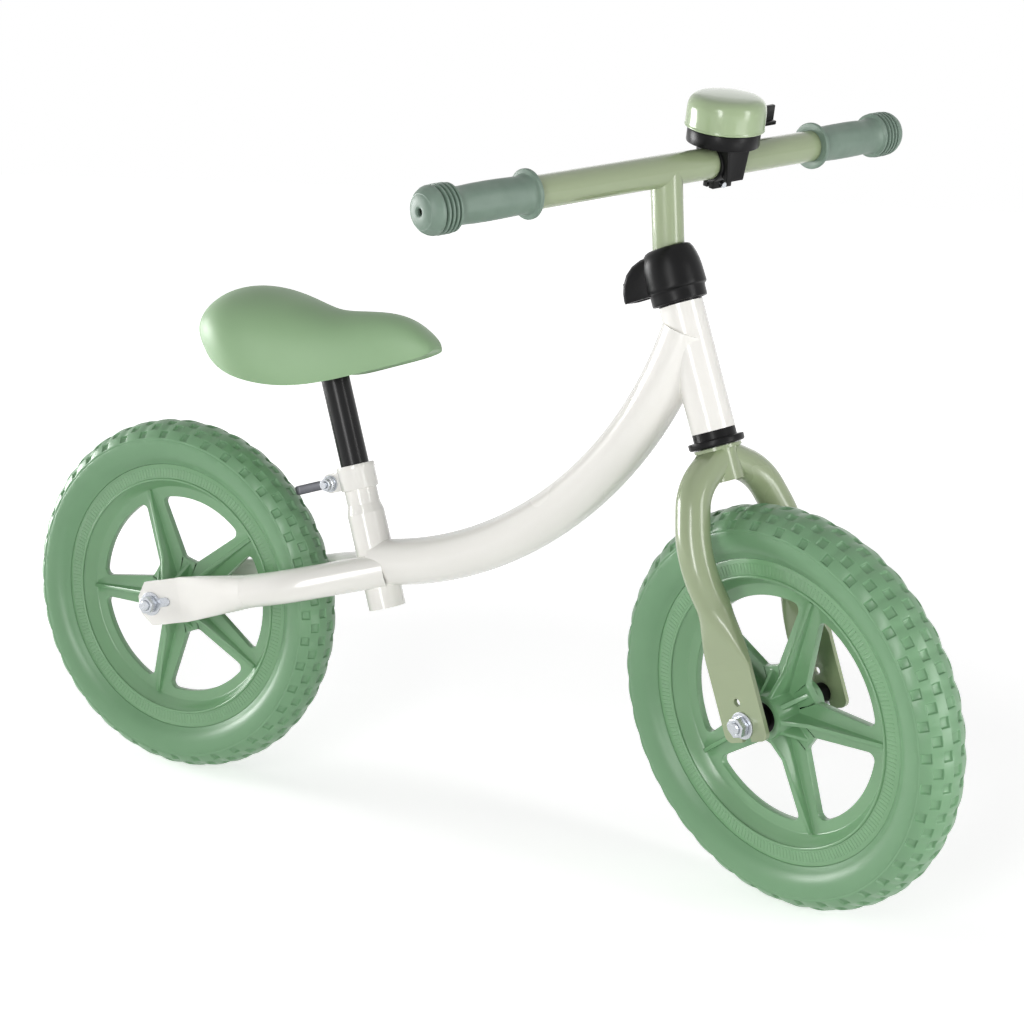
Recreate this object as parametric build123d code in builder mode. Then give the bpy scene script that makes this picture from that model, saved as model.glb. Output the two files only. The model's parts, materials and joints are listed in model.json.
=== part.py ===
from build123d import *
import os
from math import asin, cos, degrees, radians, sin, sqrt

os.makedirs("parts", exist_ok=True)

# Layout, in millimetres and degrees. X runs forward from the rear axle, Y to the rider's left and
# Z up from the ground. At the end every piece is moved so that X starts at the middle of the bike.
WHEEL_R = 145.0
TYRE_H = 35.0
WHEELBASE = 523.0
HEAD_ANGLE = 19.5
SEAT_ANGLE = 17.2
STAY_ANGLE = 14.5
STEER_TURN = -21.8

# Fits: radial clearance of a turning or sliding fit, play beside turning pieces, tube wall.
FIT = 0.06
PLAY = 0.5
WALL = 1.6

# Frame tubes. The head tube starts at a height along the steering axis, measured from the axle, and
# the top of the seat tube stands clear of the rear tyre on a bearing from the rear axle.
HEAD_TUBE_OD = 31.0
HEAD_TUBE_GAP = 54.0
HEAD_TUBE_BOTTOM = WHEEL_R + HEAD_TUBE_GAP
HEAD_TUBE_LENGTH = 90.0
SEAT_TOP_GAP = 63.2
SEAT_TOP_BEARING = 38.04
SEAT_TOP_X = (WHEEL_R + SEAT_TOP_GAP) * cos(radians(SEAT_TOP_BEARING))
SEAT_TOP_Z = WHEEL_R + (WHEEL_R + SEAT_TOP_GAP) * sin(radians(SEAT_TOP_BEARING))
SEAT_TUBE_OD = 29.0
SEAT_TUBE_LENGTH = 113.0
SEAT_NECK_OD = 25.4
SEAT_NECK_LENGTH = 31.0
MAIN_TUBE_OD = 35.6
MAIN_BEND_R = 280.0
MAIN_REAR_DROP = 76.5
MAIN_FRONT_RISE = 71.4
STAY_OD = 26.0
STAY_PLATE_X = 33.0
STAY_TUBE_X = 98.0
STAY_TAIL_X = -12.0
STAY_BEND_X = WHEEL_R - 9.0
STAY_BEND_R = 60.0
STAY_END_X = WHEEL_R + 59.0
STAY_END_Y = 7.0

# Dropout plates, axles and their nuts.
DROPOUT_SPAN = 79.0
PLATE_T = 3.2
PLATE_W = 36.0
FORK_PLATE_W = 40.0
TAB_HOLE_X = 16.0
TAB_HOLE_R = 2.8
AXLE_D = 8.0
NUT_AF = 13.0
NUT_H = 6.5
TAB_WASHER_T = 1.5
TAB_TIP_R = 3.6
SPACER_OD = 15.0

# Wheels.
TYRE_W = 45.0
TYRE_SHOULDER = 13.0
TREAD_PITCHES = 40
PIT_DEPTH = 1.8
PIT_W = 6.6
PIT_L = 7.6
RIM_R = WHEEL_R - TYRE_H
RIM_W = 27.0
RIM_FLANGE_R = RIM_R - 12.0
WEB_R = RIM_R - 20.0
WEB_T = 6.0
HUB_R = 16.0
HUB_W = 47.0
BUSHING_R = 11.0
BUSHING_L = 14.0
SPOKES = 5
SPOKE_TIP_HALF_W = 9.0
SPOKE_ROOT_HALF_W = 13.0
WINDOW_OUTER_R = RIM_R - 28.5
WINDOW_INNER_R = 32.0
WINDOW_CORNER_R = 5.0
RIB_T = 3.2
REAR_SPOKE_ANGLE = 111.4
FRONT_SPOKE_ANGLE = 53.1

# Fork and headset.
STEERER_OD = 25.4
STEERER_BOTTOM = WHEEL_R + 18.0
LEG_OD = 24.0
LEG_BOW_Y = 47.0
LEG_PLATE_TOP = 42.0
LEG_TUBE_BOTTOM = WHEEL_R - 61.0
LEG_FOOT_R = 90.0
LEG_BOW_R = 70.0
LEG_CROWN_R = 40.0
FORK_PLATE_BOTTOM = -12.0
FORK_PLATE_CORNER_R = 6.0
CUP_FLANGE_R = 19.6
CUP_NECK_R = 15.2
CUP_FLANGE_T = 5.0
CUP_NECK_T = 6.0
CUP_SLEEVE_L = 15.0
UPPER_CUP_T = 7.0
RACE_T = 2.2

# Stem clamp under its moulded cover.
CLAMP_R = 16.4
CLAMP_H = 20.0
CLAMP_ANGLE = 205.0
CLAMP_LUG_REACH = 27.5
COVER_BOTTOM_R = 19.8
COVER_TOP_R = 15.5
COVER_H = 38.0
COVER_WALL = 2.2
COVER_LOBE_REACH = 35.5
COVER_LOBE_W = 27.0

# Handlebar.
BAR_OD = 22.2
BAR_REACH = 19.0
STEM_BEND_RISE = HEAD_TUBE_BOTTOM + HEAD_TUBE_LENGTH + 33.0
STEM_BEND_R = 28.0
STEM_INSERT = 94.0
STEM_BOTTOM = STEM_BEND_RISE - STEM_INSERT
BAR_ABOVE_BEND = 56.0
BAR_RISE = STEM_BEND_RISE + BAR_ABOVE_BEND
BAR_TURN = -2.2
BAR_LENGTH = 438.0
BAR_SHIFT = 10.0
GRIP_LENGTH = 88.0
GRIP_R = 13.0
GRIP_FLANGE_R = 16.5
GRIP_BULB_R = 16.2

# Bell, standing on the bar beside the left grip.
BELL_Y = 51.0
BELL_TILT = 12.0
BELL_R = 27.5
BELL_H = 23.0
BELL_BASE_R = 25.4
BELL_BASE_H = 10.0
BELL_WALL = 1.4
BELL_SHOULDER_R = 7.0
STRAP_T = 2.3
STRAP_W = 22.0
BELL_PINION_R = 4.5
BELL_SECTOR_R = 9.0

# Seat.
POST_OD = 22.2
POST_BOTTOM = -72.0
SADDLE_RISE = 68.0
COLLAR_H = 19.0
COLLAR_OD = 29.2
SLIT_W = 2.6
SKEWER_BACK = 21.8
SKEWER_DROP = 10.5
SKEWER_D = 5.0
LUG_HALF_W = 6.5


def leaning(origin, lean):
    """Frame at a point, with local Z leaning back from the vertical and local X pointing forward."""
    c = cos(radians(lean))
    s = sin(radians(lean))
    return Location(Plane(origin=origin, x_dir=(c, 0, s), z_dir=(-s, 0, c)))


def save(piece, label, place):
    """Move a finished piece from its own frame to its place on the bike, label it and write it."""
    piece.part.move(place)
    piece.part.label = label
    export_step(piece.part, f"parts/{label}.step")


# The turned, leaning front wheel reaches a little less far forward than its radius.
tyre_round_r = (WHEEL_R - RIM_R) / 2
axle_lean = sin(radians(STEER_TURN)) * cos(radians(HEAD_ANGLE))
front_reach = (WHEEL_R - tyre_round_r) * sqrt(1 - axle_lean**2) + tyre_round_r
mid_x = (WHEELBASE + front_reach - WHEEL_R) / 2

BIKE = Location((-mid_x, 0, 0))
REAR_WHEEL = BIKE * Location((0, 0, WHEEL_R))
STAY = REAR_WHEEL * Location((0, 0, 0), (0, -STAY_ANGLE, 0))
HEAD = BIKE * leaning((WHEELBASE, 0, WHEEL_R), HEAD_ANGLE)
STEER = HEAD * Location((0, 0, 0), (0, 0, STEER_TURN))
SEAT = BIKE * leaning((SEAT_TOP_X, 0, SEAT_TOP_Z), SEAT_ANGLE)
STEM = STEER * Location((0, 0, 0), (0, 0, BAR_TURN))
bar_lean = degrees(asin(BAR_REACH / sqrt(BAR_REACH**2 + BAR_ABOVE_BEND**2)))
BAR = STEM * leaning((BAR_REACH, 0, BAR_RISE), -bar_lean)
BELL = BAR * Location((0, BELL_Y, 0), (0, BELL_TILT, 0))

axle_r = AXLE_D / 2
plate_in = DROPOUT_SPAN / 2
plate_out = plate_in + PLATE_T
plate_mid = plate_in + PLATE_T / 2


# Frame tubes.
seat_tube_r = SEAT_TUBE_OD / 2
seat_neck_r = SEAT_NECK_OD / 2
post_r = POST_OD / 2

with BuildPart() as seat_tube:
    with BuildSketch(Plane.XZ):
        with BuildLine():
            Polyline(
                (post_r + FIT, 0),
                (seat_neck_r, 0),
                (seat_neck_r, -SEAT_NECK_LENGTH),
                (seat_tube_r, -SEAT_NECK_LENGTH - 7),
                (seat_tube_r, -SEAT_TUBE_LENGTH),
                (seat_tube_r - WALL, -SEAT_TUBE_LENGTH),
                (seat_tube_r - WALL, -SEAT_NECK_LENGTH - 12),
                (post_r + FIT, -SEAT_NECK_LENGTH - 7),
                close=True,
            )
        make_face()
    revolve(axis=Axis.Z)
    with Locations((-seat_neck_r, 0, -COLLAR_H / 2 - 2)):
        Box(SEAT_NECK_OD, SLIT_W, COLLAR_H + 4.2, mode=Mode.SUBTRACT)
save(seat_tube, "seat_tube", SEAT)

with BuildPart() as head_tube:
    with Locations((0, 0, HEAD_TUBE_BOTTOM)):
        Cylinder(HEAD_TUBE_OD / 2, HEAD_TUBE_LENGTH, align=(Align.CENTER, Align.CENTER, Align.MIN))
        Cylinder(
            HEAD_TUBE_OD / 2 - WALL,
            HEAD_TUBE_LENGTH,
            align=(Align.CENTER, Align.CENTER, Align.MIN),
            mode=Mode.SUBTRACT,
        )
save(head_tube, "head_tube", HEAD)

# The main tube is one wide arc from the seat tube axis to the steering axis, cut to fit both tubes.
seat_lean = radians(SEAT_ANGLE)
head_lean = radians(HEAD_ANGLE)
main_front_z = HEAD_TUBE_BOTTOM + MAIN_FRONT_RISE
main_rear = (SEAT_TOP_X + MAIN_REAR_DROP * sin(seat_lean), SEAT_TOP_Z - MAIN_REAR_DROP * cos(seat_lean))
main_front = (WHEELBASE - main_front_z * sin(head_lean), WHEEL_R + main_front_z * cos(head_lean))

with BuildPart() as main_core:
    with BuildLine(Plane.XZ) as main_path:
        RadiusArc(main_rear, main_front, -MAIN_BEND_R)
    with BuildSketch(Plane(origin=main_path.line @ 0, z_dir=main_path.line % 0)):
        Circle(MAIN_TUBE_OD / 2)
    sweep(path=main_path.line)

with BuildPart() as tube_ends:
    with Locations(leaning((WHEELBASE, 0, WHEEL_R), HEAD_ANGLE)):
        with Locations((0, 0, main_front_z)):
            Cylinder(HEAD_TUBE_OD / 2, 3 * HEAD_TUBE_LENGTH)
    with Locations(leaning((SEAT_TOP_X, 0, SEAT_TOP_Z), SEAT_ANGLE)):
        with Locations((0, 0, -MAIN_REAR_DROP)):
            Cylinder(seat_tube_r, SEAT_TUBE_LENGTH)

with BuildPart() as main_tube:
    with BuildSketch(Plane(origin=main_path.line @ 0, z_dir=main_path.line % 0)):
        Circle(MAIN_TUBE_OD / 2)
        Circle(MAIN_TUBE_OD / 2 - WALL, mode=Mode.SUBTRACT)
    sweep(path=main_path.line)
    add(tube_ends.part, mode=Mode.SUBTRACT)
save(main_tube, "main_tube", BIKE)

# Rear stays: a flat plate at the axle, then a tube that runs beside the tyre and bends in to the seat tube.
stay_tools = (main_core.part + tube_ends.part).moved((BIKE.inverse() * STAY).inverse())

for side, label in ((-1, "stay_right"), (1, "stay_left")):
    y = side * plate_mid
    with BuildPart() as stay:
        with BuildSketch(Plane.XZ.offset(-y)):
            with BuildLine():
                Polyline(
                    (STAY_PLATE_X, -PLATE_W / 2),
                    (STAY_PLATE_X, PLATE_W / 2),
                    (STAY_TAIL_X + 9, PLATE_W / 2),
                    (STAY_TAIL_X, PLATE_W / 2 - 11),
                    (STAY_TAIL_X, -PLATE_W / 2 + 11),
                    (STAY_TAIL_X + 9, -PLATE_W / 2),
                    close=True,
                )
            make_face()
        extrude(amount=PLATE_T / 2, both=True)
        with Locations((0, y, 0)):
            Cylinder(axle_r + 0.2, PLATE_T * 2, rotation=(90, 0, 0), mode=Mode.SUBTRACT)
        with Locations((TAB_HOLE_X, y, 0)):
            Cylinder(TAB_HOLE_R, PLATE_T * 2, rotation=(90, 0, 0), mode=Mode.SUBTRACT)
        with BuildSketch(Plane(origin=(STAY_PLATE_X, y, 0), x_dir=(0, 1, 0), z_dir=(1, 0, 0))):
            Ellipse(PLATE_T / 2, PLATE_W / 2)
        with BuildSketch(Plane(origin=(STAY_TUBE_X, y, 0), x_dir=(0, 1, 0), z_dir=(1, 0, 0))):
            Circle(STAY_OD / 2)
        loft()
        with BuildLine() as stay_path:
            FilletPolyline(
                (STAY_TUBE_X, y),
                (STAY_BEND_X, y),
                (STAY_END_X, side * STAY_END_Y),
                radius=STAY_BEND_R,
            )
        with BuildSketch(Plane(origin=(STAY_TUBE_X, y, 0), x_dir=(0, 1, 0), z_dir=(1, 0, 0))):
            Circle(STAY_OD / 2)
            Circle(STAY_OD / 2 - WALL, mode=Mode.SUBTRACT)
        sweep(path=stay_path.line)
        add(stay_tools, mode=Mode.SUBTRACT)
    save(stay, label, STAY)


# Seat clamp: a slit collar with two lugs behind it, closed by a skewer with a cam lever.
collar_r = COLLAR_OD / 2
lug_end = -SKEWER_BACK - 6

with BuildPart() as seat_collar:
    with BuildSketch(Plane.XZ):
        with BuildLine():
            Polyline(
                (seat_neck_r, 0),
                (collar_r + 0.4, 0),
                (collar_r + 0.4, -3.5),
                (collar_r, -4.5),
                (collar_r, -COLLAR_H),
                (seat_neck_r, -COLLAR_H),
                close=True,
            )
        make_face()
    revolve(axis=Axis.Z)
    with BuildSketch(Plane.XZ.offset(-LUG_HALF_W)):
        with Locations((-SKEWER_BACK / 2 - 9, -SKEWER_DROP)):
            Rectangle(-lug_end * 2 - SKEWER_BACK - 18, 15)
    extrude(amount=2 * LUG_HALF_W)
    lug_corners = seat_collar.edges().filter_by(Axis.Y).group_by(Axis.X)[0]
    fillet(lug_corners, 5)
    with Locations((0, 0, -COLLAR_H / 2)):
        Cylinder(seat_neck_r, COLLAR_H * 2, mode=Mode.SUBTRACT)
        with Locations((lug_end, 0, 0)):
            Box(-2 * lug_end, SLIT_W, COLLAR_H * 2, mode=Mode.SUBTRACT)
    with Locations((-SKEWER_BACK, 0, -SKEWER_DROP)):
        Cylinder(SKEWER_D / 2 + 0.2, 4 * LUG_HALF_W, rotation=(90, 0, 0), mode=Mode.SUBTRACT)
save(seat_collar, "seat_collar", SEAT)

SKEWER = SEAT * Location((-SKEWER_BACK, 0, -SKEWER_DROP))
QR_WASHER_T = 1.5
QR_NUT_H = 7.0
QR_EYE_R = 5.0
QR_EYE_H = 6.4
QR_PIN_R = 2.4
QR_HEAD_R = 6.4
QR_HEAD_H = 13.0
qr_seat = LUG_HALF_W + QR_WASHER_T
qr_pivot_y = qr_seat + PLAY + QR_HEAD_R

with BuildPart() as qr_skewer:
    Cylinder(
        SKEWER_D / 2,
        qr_seat + QR_NUT_H + 2 + qr_pivot_y,
        align=(Align.CENTER, Align.CENTER, Align.MIN),
        rotation=(90, 0, 0),
    )
    qr_skewer.part.move(Location((0, qr_pivot_y, 0)))
    with Locations((0, qr_pivot_y, 0)):
        Cylinder(QR_EYE_R, QR_EYE_H)
        Cylinder(QR_PIN_R + FIT, QR_EYE_H, mode=Mode.SUBTRACT)
save(qr_skewer, "qr_skewer", SKEWER)

with BuildPart() as qr_washers:
    for side in (-1, 1):
        with Locations((0, side * (LUG_HALF_W + QR_WASHER_T / 2), 0)):
            Cylinder(6.5, QR_WASHER_T, rotation=(90, 0, 0))
    Cylinder(SKEWER_D / 2, 6 * LUG_HALF_W, rotation=(90, 0, 0), mode=Mode.SUBTRACT)
save(qr_washers, "qr_washers", SKEWER)

with BuildPart() as qr_nut:
    with Locations((0, -qr_seat - QR_NUT_H / 4, 0)):
        Cylinder(5.8, QR_NUT_H / 2, rotation=(90, 0, 0))
    with Locations((0, -qr_seat - QR_NUT_H * 3 / 4, 0)):
        Cylinder(4.6, QR_NUT_H / 2, rotation=(90, 0, 0))
    Cylinder(SKEWER_D / 2, 10 * LUG_HALF_W, rotation=(90, 0, 0), mode=Mode.SUBTRACT)
save(qr_nut, "qr_nut", SKEWER)

# The lever folds round behind the lugs and swings outward about its pin.
QR_LEVER = SKEWER * Location((0, qr_pivot_y, 0))
QR_LEVER_BACK = 32.0
QR_LEVER_IN = 20.0
QR_LEVER_HALF_H = 3.0

with BuildPart() as qr_lever:
    Cylinder(QR_HEAD_R, QR_HEAD_H)
    with BuildSketch():
        with BuildLine():
            Polyline(
                (-4, 4.5),
                (-14, -2.4),
                (-QR_LEVER_BACK, -QR_LEVER_IN + 2.6),
                (-QR_LEVER_BACK - 2, -QR_LEVER_IN - 1),
                (-QR_LEVER_BACK + 2, -QR_LEVER_IN - 2.4),
                (-13, -7.0),
                (-3, -4.0),
                close=True,
            )
        make_face()
    extrude(amount=QR_LEVER_HALF_H, both=True)
    with Locations((QR_HEAD_R, 0, 0)):
        Box(2 * (QR_HEAD_R + QR_EYE_R + PLAY), 4 * QR_HEAD_R, QR_EYE_H + 2 * PLAY, mode=Mode.SUBTRACT)
    Cylinder(QR_PIN_R, QR_HEAD_H, mode=Mode.SUBTRACT)
save(qr_lever, "qr_lever", QR_LEVER)

with BuildPart() as qr_pin:
    Cylinder(QR_PIN_R, QR_HEAD_H)
save(qr_pin, "qr_pin", QR_LEVER)


# Seat post and saddle. The saddle is built square to the post: X forward, Z along the post.
SOCKET_R = 16.0
SOCKET_TOP = 94.0
SOCKET_ROOF = 4.0
SADDLE_BASE_T = 4.0
SADDLE_RECESS = 3.0
post_top = SOCKET_TOP - SOCKET_ROOF

with BuildPart() as seat_post:
    with Locations((0, 0, POST_BOTTOM)):
        Cylinder(post_r, post_top - POST_BOTTOM, align=(Align.CENTER, Align.CENTER, Align.MIN))
        Cylinder(
            post_r - WALL,
            post_top - POST_BOTTOM,
            align=(Align.CENTER, Align.CENTER, Align.MIN),
            mode=Mode.SUBTRACT,
        )
save(seat_post, "seat_post", SEAT)


def saddle_section(x, half_w, bottom, top):
    """Cross-section of the saddle: flat below, sides drawn in at the foot, crowned on top."""
    h = top - bottom
    foot = (half_w * 0.9, bottom)
    waist = (half_w, bottom + 0.38 * h)
    brow = (half_w * 0.8, bottom + 0.76 * h)
    with BuildSketch(Plane(origin=(x, 0, 0), x_dir=(0, 1, 0), z_dir=(1, 0, 0))) as section:
        with BuildLine():
            Line((-foot[0], bottom), foot)
            ThreePointArc(foot, waist, brow)
            ThreePointArc(brow, (0, top), (-brow[0], brow[1]))
            ThreePointArc((-brow[0], brow[1]), (-waist[0], waist[1]), (-foot[0], bottom))
        make_face()
    return section.sketch


# Stations along the saddle: position, half width, underside and crown above the seat tube end.
low = SADDLE_RISE
saddle_stations = (
    (-97, 24, low + 52, low + 67),
    (-86, 43, low + 40, low + 80),
    (-56, 60, low + 18, low + 87),
    (-22, 51, low + 4, low + 74),
    (14, 33, low, low + 50),
    (52, 24, low, low + 41),
    (80, 19, low, low + 29),
    (94, 11, low + 1, low + 9),
)

# The base plate lies in a pocket of the cover, and its socket takes the end of the post.
base_bottom_z = low + SADDLE_RECESS
base_outline = ((-17, 30), (14, 24), (52, 17), (78, 13), (78, -13), (52, -17), (14, -24), (-17, -30))

with BuildPart() as saddle_cover:
    loft([saddle_section(*station) for station in saddle_stations])
    with BuildSketch(Plane.XY.offset(low - 10)):
        with BuildLine():
            Polyline(*base_outline, close=True)
        make_face()
    extrude(amount=10 + SADDLE_RECESS + SADDLE_BASE_T, mode=Mode.SUBTRACT)
    with Locations((0, 0, SOCKET_TOP)):
        Cylinder(SOCKET_R, SOCKET_TOP, align=(Align.CENTER, Align.CENTER, Align.MAX), mode=Mode.SUBTRACT)
save(saddle_cover, "saddle_cover", SEAT)

with BuildPart() as saddle_base:
    with BuildSketch(Plane.XY.offset(base_bottom_z)):
        with BuildLine():
            Polyline(*base_outline, close=True)
        make_face()
    extrude(amount=SADDLE_BASE_T)
    with Locations((0, 0, SOCKET_TOP)):
        Cylinder(SOCKET_R, SOCKET_TOP - base_bottom_z, align=(Align.CENTER, Align.CENTER, Align.MAX))
    with Locations((0, 0, post_top)):
        Cylinder(post_r, post_top, align=(Align.CENTER, Align.CENTER, Align.MAX), mode=Mode.SUBTRACT)
save(saddle_base, "saddle_base", SEAT)

SCREW_HEAD_R = 4.0
SCREW_HEAD_H = 2.2

with BuildPart() as saddle_screws:
    for x, y in ((-6, 22), (-6, -22), (60, 9), (60, -9)):
        with Locations((x, y, base_bottom_z)):
            Cylinder(SCREW_HEAD_R, SCREW_HEAD_H, align=(Align.CENTER, Align.CENTER, Align.MAX))
save(saddle_screws, "saddle_screws", SEAT)


# Wheels, each in a frame whose Y is the axle. Angles run from X towards Z. The tread is broad blocks
# in staggered rows, and the pits between them are cut out of the crown. Each row has its angle round
# the crown and its start within the pitch.
TREAD_ROWS = (
    (0, 5 / 6),
    (17.2, 1 / 3),
    (-17.2, 1 / 3),
    (33.5, 5 / 6),
    (-33.5, 5 / 6),
    (50.2, 1 / 3),
    (-50.2, 1 / 3),
)
crown_r = ((TYRE_W / 2) ** 2 + TYRE_SHOULDER**2) / (2 * TYRE_SHOULDER)
pit_places = []
for lean, start in TREAD_ROWS:
    out = Vector(cos(radians(lean)), sin(radians(lean)), 0)
    middle = Vector(WHEEL_R - crown_r, 0, 0) + out * crown_r
    pit = Location(Plane(origin=middle, x_dir=(0, 0, 1), z_dir=out))
    for index in range(TREAD_PITCHES):
        turn = (index + start) * 360 / TREAD_PITCHES
        pit_places.append(Location((0, 0, 0), (0, -turn, 0)) * pit)


def wheel(prefix, place, spoke_angle):
    """Foam tyre, moulded spoked wheel and the two hub bushings of one wheel."""
    shoulder_r = WHEEL_R - TYRE_SHOULDER
    belly_r = (RIM_R + shoulder_r) / 2
    with BuildPart() as tyre:
        with BuildSketch():
            with BuildLine():
                Line((RIM_R, -RIM_W / 2), (RIM_R, RIM_W / 2))
                ThreePointArc((RIM_R, RIM_W / 2), (belly_r, TYRE_W / 2 - 1), (shoulder_r, TYRE_W / 2))
                ThreePointArc((shoulder_r, TYRE_W / 2), (WHEEL_R, 0), (shoulder_r, -TYRE_W / 2))
                ThreePointArc((shoulder_r, -TYRE_W / 2), (belly_r, 1 - TYRE_W / 2), (RIM_R, -RIM_W / 2))
            make_face()
        revolve(axis=Axis.Y)
        with Locations(*pit_places):
            Box(PIT_L, PIT_W, 2 * PIT_DEPTH, mode=Mode.SUBTRACT)
    save(tyre, f"{prefix}_tyre", place)

    half_step = 180 / SPOKES
    outer_half = half_step - degrees(asin(SPOKE_TIP_HALF_W / WINDOW_OUTER_R))
    inner_half = half_step - degrees(asin(SPOKE_ROOT_HALF_W / WINDOW_INNER_R))
    outer = Vector(WINDOW_OUTER_R, 0).rotate(Axis.Z, outer_half)
    inner = Vector(WINDOW_INNER_R, 0).rotate(Axis.Z, inner_half)
    with BuildSketch() as window:
        with BuildLine():
            Line((inner.X, -inner.Y), (outer.X, -outer.Y))
            ThreePointArc((outer.X, -outer.Y), (WINDOW_OUTER_R, 0), (outer.X, outer.Y))
            Line((outer.X, outer.Y), (inner.X, inner.Y))
            Line((inner.X, inner.Y), (inner.X, -inner.Y))
        make_face()
        fillet(window.vertices(), WINDOW_CORNER_R)

    with BuildPart() as spoke_rib:
        with BuildSketch():
            with BuildLine():
                Polyline(
                    (HUB_R - 2, -HUB_W / 2 + 0.5),
                    (HUB_R + 18, -RIM_W / 2),
                    (WEB_R - 0.5, -WEB_T),
                    (WEB_R - 0.5, WEB_T),
                    (HUB_R + 18, RIM_W / 2),
                    (HUB_R - 2, HUB_W / 2 - 0.5),
                    close=True,
                )
            make_face()
        extrude(amount=RIB_T / 2, both=True)

    with BuildPart() as gusset_rib:
        with BuildSketch():
            with BuildLine():
                Polyline(
                    (HUB_R - 2, -HUB_W / 2 + 2),
                    (WINDOW_INNER_R - 3, -WEB_T / 2),
                    (WINDOW_INNER_R - 3, WEB_T / 2),
                    (HUB_R - 2, HUB_W / 2 - 2),
                    close=True,
                )
            make_face()
        extrude(amount=RIB_T / 2, both=True)

    with BuildPart() as core:
        with BuildSketch():
            with BuildLine():
                Polyline(
                    (BUSHING_R, -HUB_W / 2),
                    (HUB_R, -HUB_W / 2),
                    (HUB_R, -WEB_T / 2),
                    (WEB_R, -WEB_T / 2),
                    (RIM_FLANGE_R, -RIM_W / 2),
                    (RIM_R, -RIM_W / 2),
                    (RIM_R, RIM_W / 2),
                    (RIM_FLANGE_R, RIM_W / 2),
                    (WEB_R, WEB_T / 2),
                    (HUB_R, WEB_T / 2),
                    (HUB_R, HUB_W / 2),
                    (BUSHING_R, HUB_W / 2),
                    close=True,
                )
            make_face()
        revolve(axis=Axis.Y)
        with BuildSketch(Plane.XZ):
            with PolarLocations(0, SPOKES, start_angle=spoke_angle + half_step):
                add(window.sketch)
        extrude(amount=WEB_T, both=True, mode=Mode.SUBTRACT)
        for index in range(SPOKES):
            turn = spoke_angle + index * 2 * half_step
            add(spoke_rib.part.rotate(Axis.Y, -turn))
            add(gusset_rib.part.rotate(Axis.Y, -turn - half_step))
    save(core, f"{prefix}_wheel", place)

    with BuildPart() as bushings:
        for side in (-1, 1):
            with Locations((0, side * (HUB_W - 1 - BUSHING_L) / 2, 0)):
                Cylinder(BUSHING_R, BUSHING_L, rotation=(90, 0, 0))
        Cylinder(axle_r + FIT, HUB_W, rotation=(90, 0, 0), mode=Mode.SUBTRACT)
    save(bushings, f"{prefix}_bushings", place)


def axle_set(prefix, place, tab_angle, tab_length, peg):
    """Threaded axle with a spacer, a tab washer and a nut on each side."""
    nut_in = plate_out + TAB_WASHER_T
    spacer_in = (HUB_W - 1) / 2 + PLAY
    with BuildPart() as axle:
        Cylinder(axle_r, 2 * (nut_in + NUT_H + 1.5), rotation=(90, 0, 0))
        chamfer(axle.edges(), 0.8)
    save(axle, f"{prefix}_axle", place)

    with BuildPart() as spacers:
        for side in (-1, 1):
            with Locations((0, side * (plate_in + spacer_in) / 2, 0)):
                Cylinder(SPACER_OD / 2, plate_in - spacer_in, rotation=(90, 0, 0))
        Cylinder(axle_r, 2 * plate_out, rotation=(90, 0, 0), mode=Mode.SUBTRACT)
    save(spacers, f"{prefix}_spacers", place)

    tab = Vector(tab_length, 0).rotate(Axis.Z, tab_angle)
    with BuildPart() as tab_washers:
        for side in (-1, 1):
            start = plate_out if side > 0 else -plate_out - TAB_WASHER_T
            with BuildSketch(Plane.XZ.offset(-start)):
                Circle(9.6)
                with Locations((tab.X / 2, tab.Y / 2)):
                    Rectangle(tab_length, 2 * TAB_TIP_R, rotation=tab_angle)
                with Locations((tab.X, tab.Y)):
                    Circle(TAB_TIP_R)
            extrude(amount=-TAB_WASHER_T)
            if peg:
                with Locations((tab.X, side * (plate_out - PLATE_T / 2), tab.Y)):
                    Cylinder(TAB_HOLE_R - 0.2, PLATE_T, rotation=(90, 0, 0))
        Cylinder(axle_r, 4 * plate_out, rotation=(90, 0, 0), mode=Mode.SUBTRACT)
    save(tab_washers, f"{prefix}_tab_washers", place)

    with BuildPart() as nuts:
        for side in (-1, 1):
            start = nut_in if side > 0 else -nut_in - NUT_H
            with BuildSketch(Plane.XZ.offset(-start)):
                RegularPolygon(NUT_AF / 2, 6, major_radius=False)
            extrude(amount=-NUT_H)
        Cylinder(axle_r, 4 * plate_out, rotation=(90, 0, 0), mode=Mode.SUBTRACT)
    save(nuts, f"{prefix}_nuts", place)


wheel("rear", REAR_WHEEL, REAR_SPOKE_ANGLE)
axle_set("rear", STAY, 0, TAB_HOLE_X, True)
wheel("front", STEER, FRONT_SPOKE_ANGLE)
axle_set("front", STEER, 180, 10.5, False)


# Headset bushings, pressed into both ends of the head tube. The steerer turns inside them.
steerer_r = STEERER_OD / 2
cup_bore_r = steerer_r + FIT
head_bore_r = HEAD_TUBE_OD / 2 - WALL
head_top = HEAD_TUBE_BOTTOM + HEAD_TUBE_LENGTH
cup_bottom = HEAD_TUBE_BOTTOM - CUP_NECK_T - CUP_FLANGE_T

with BuildPart() as lower_cup:
    with BuildSketch(Plane.XZ):
        with BuildLine():
            Polyline(
                (cup_bore_r, cup_bottom),
                (CUP_FLANGE_R - 1, cup_bottom),
                (CUP_FLANGE_R, cup_bottom + 1),
                (CUP_FLANGE_R, cup_bottom + CUP_FLANGE_T),
                (CUP_NECK_R, cup_bottom + CUP_FLANGE_T),
                (CUP_NECK_R, HEAD_TUBE_BOTTOM),
                (head_bore_r, HEAD_TUBE_BOTTOM),
                (head_bore_r, HEAD_TUBE_BOTTOM + CUP_SLEEVE_L),
                (cup_bore_r, HEAD_TUBE_BOTTOM + CUP_SLEEVE_L),
                close=True,
            )
        make_face()
    revolve(axis=Axis.Z)
save(lower_cup, "lower_cup", HEAD)

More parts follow.
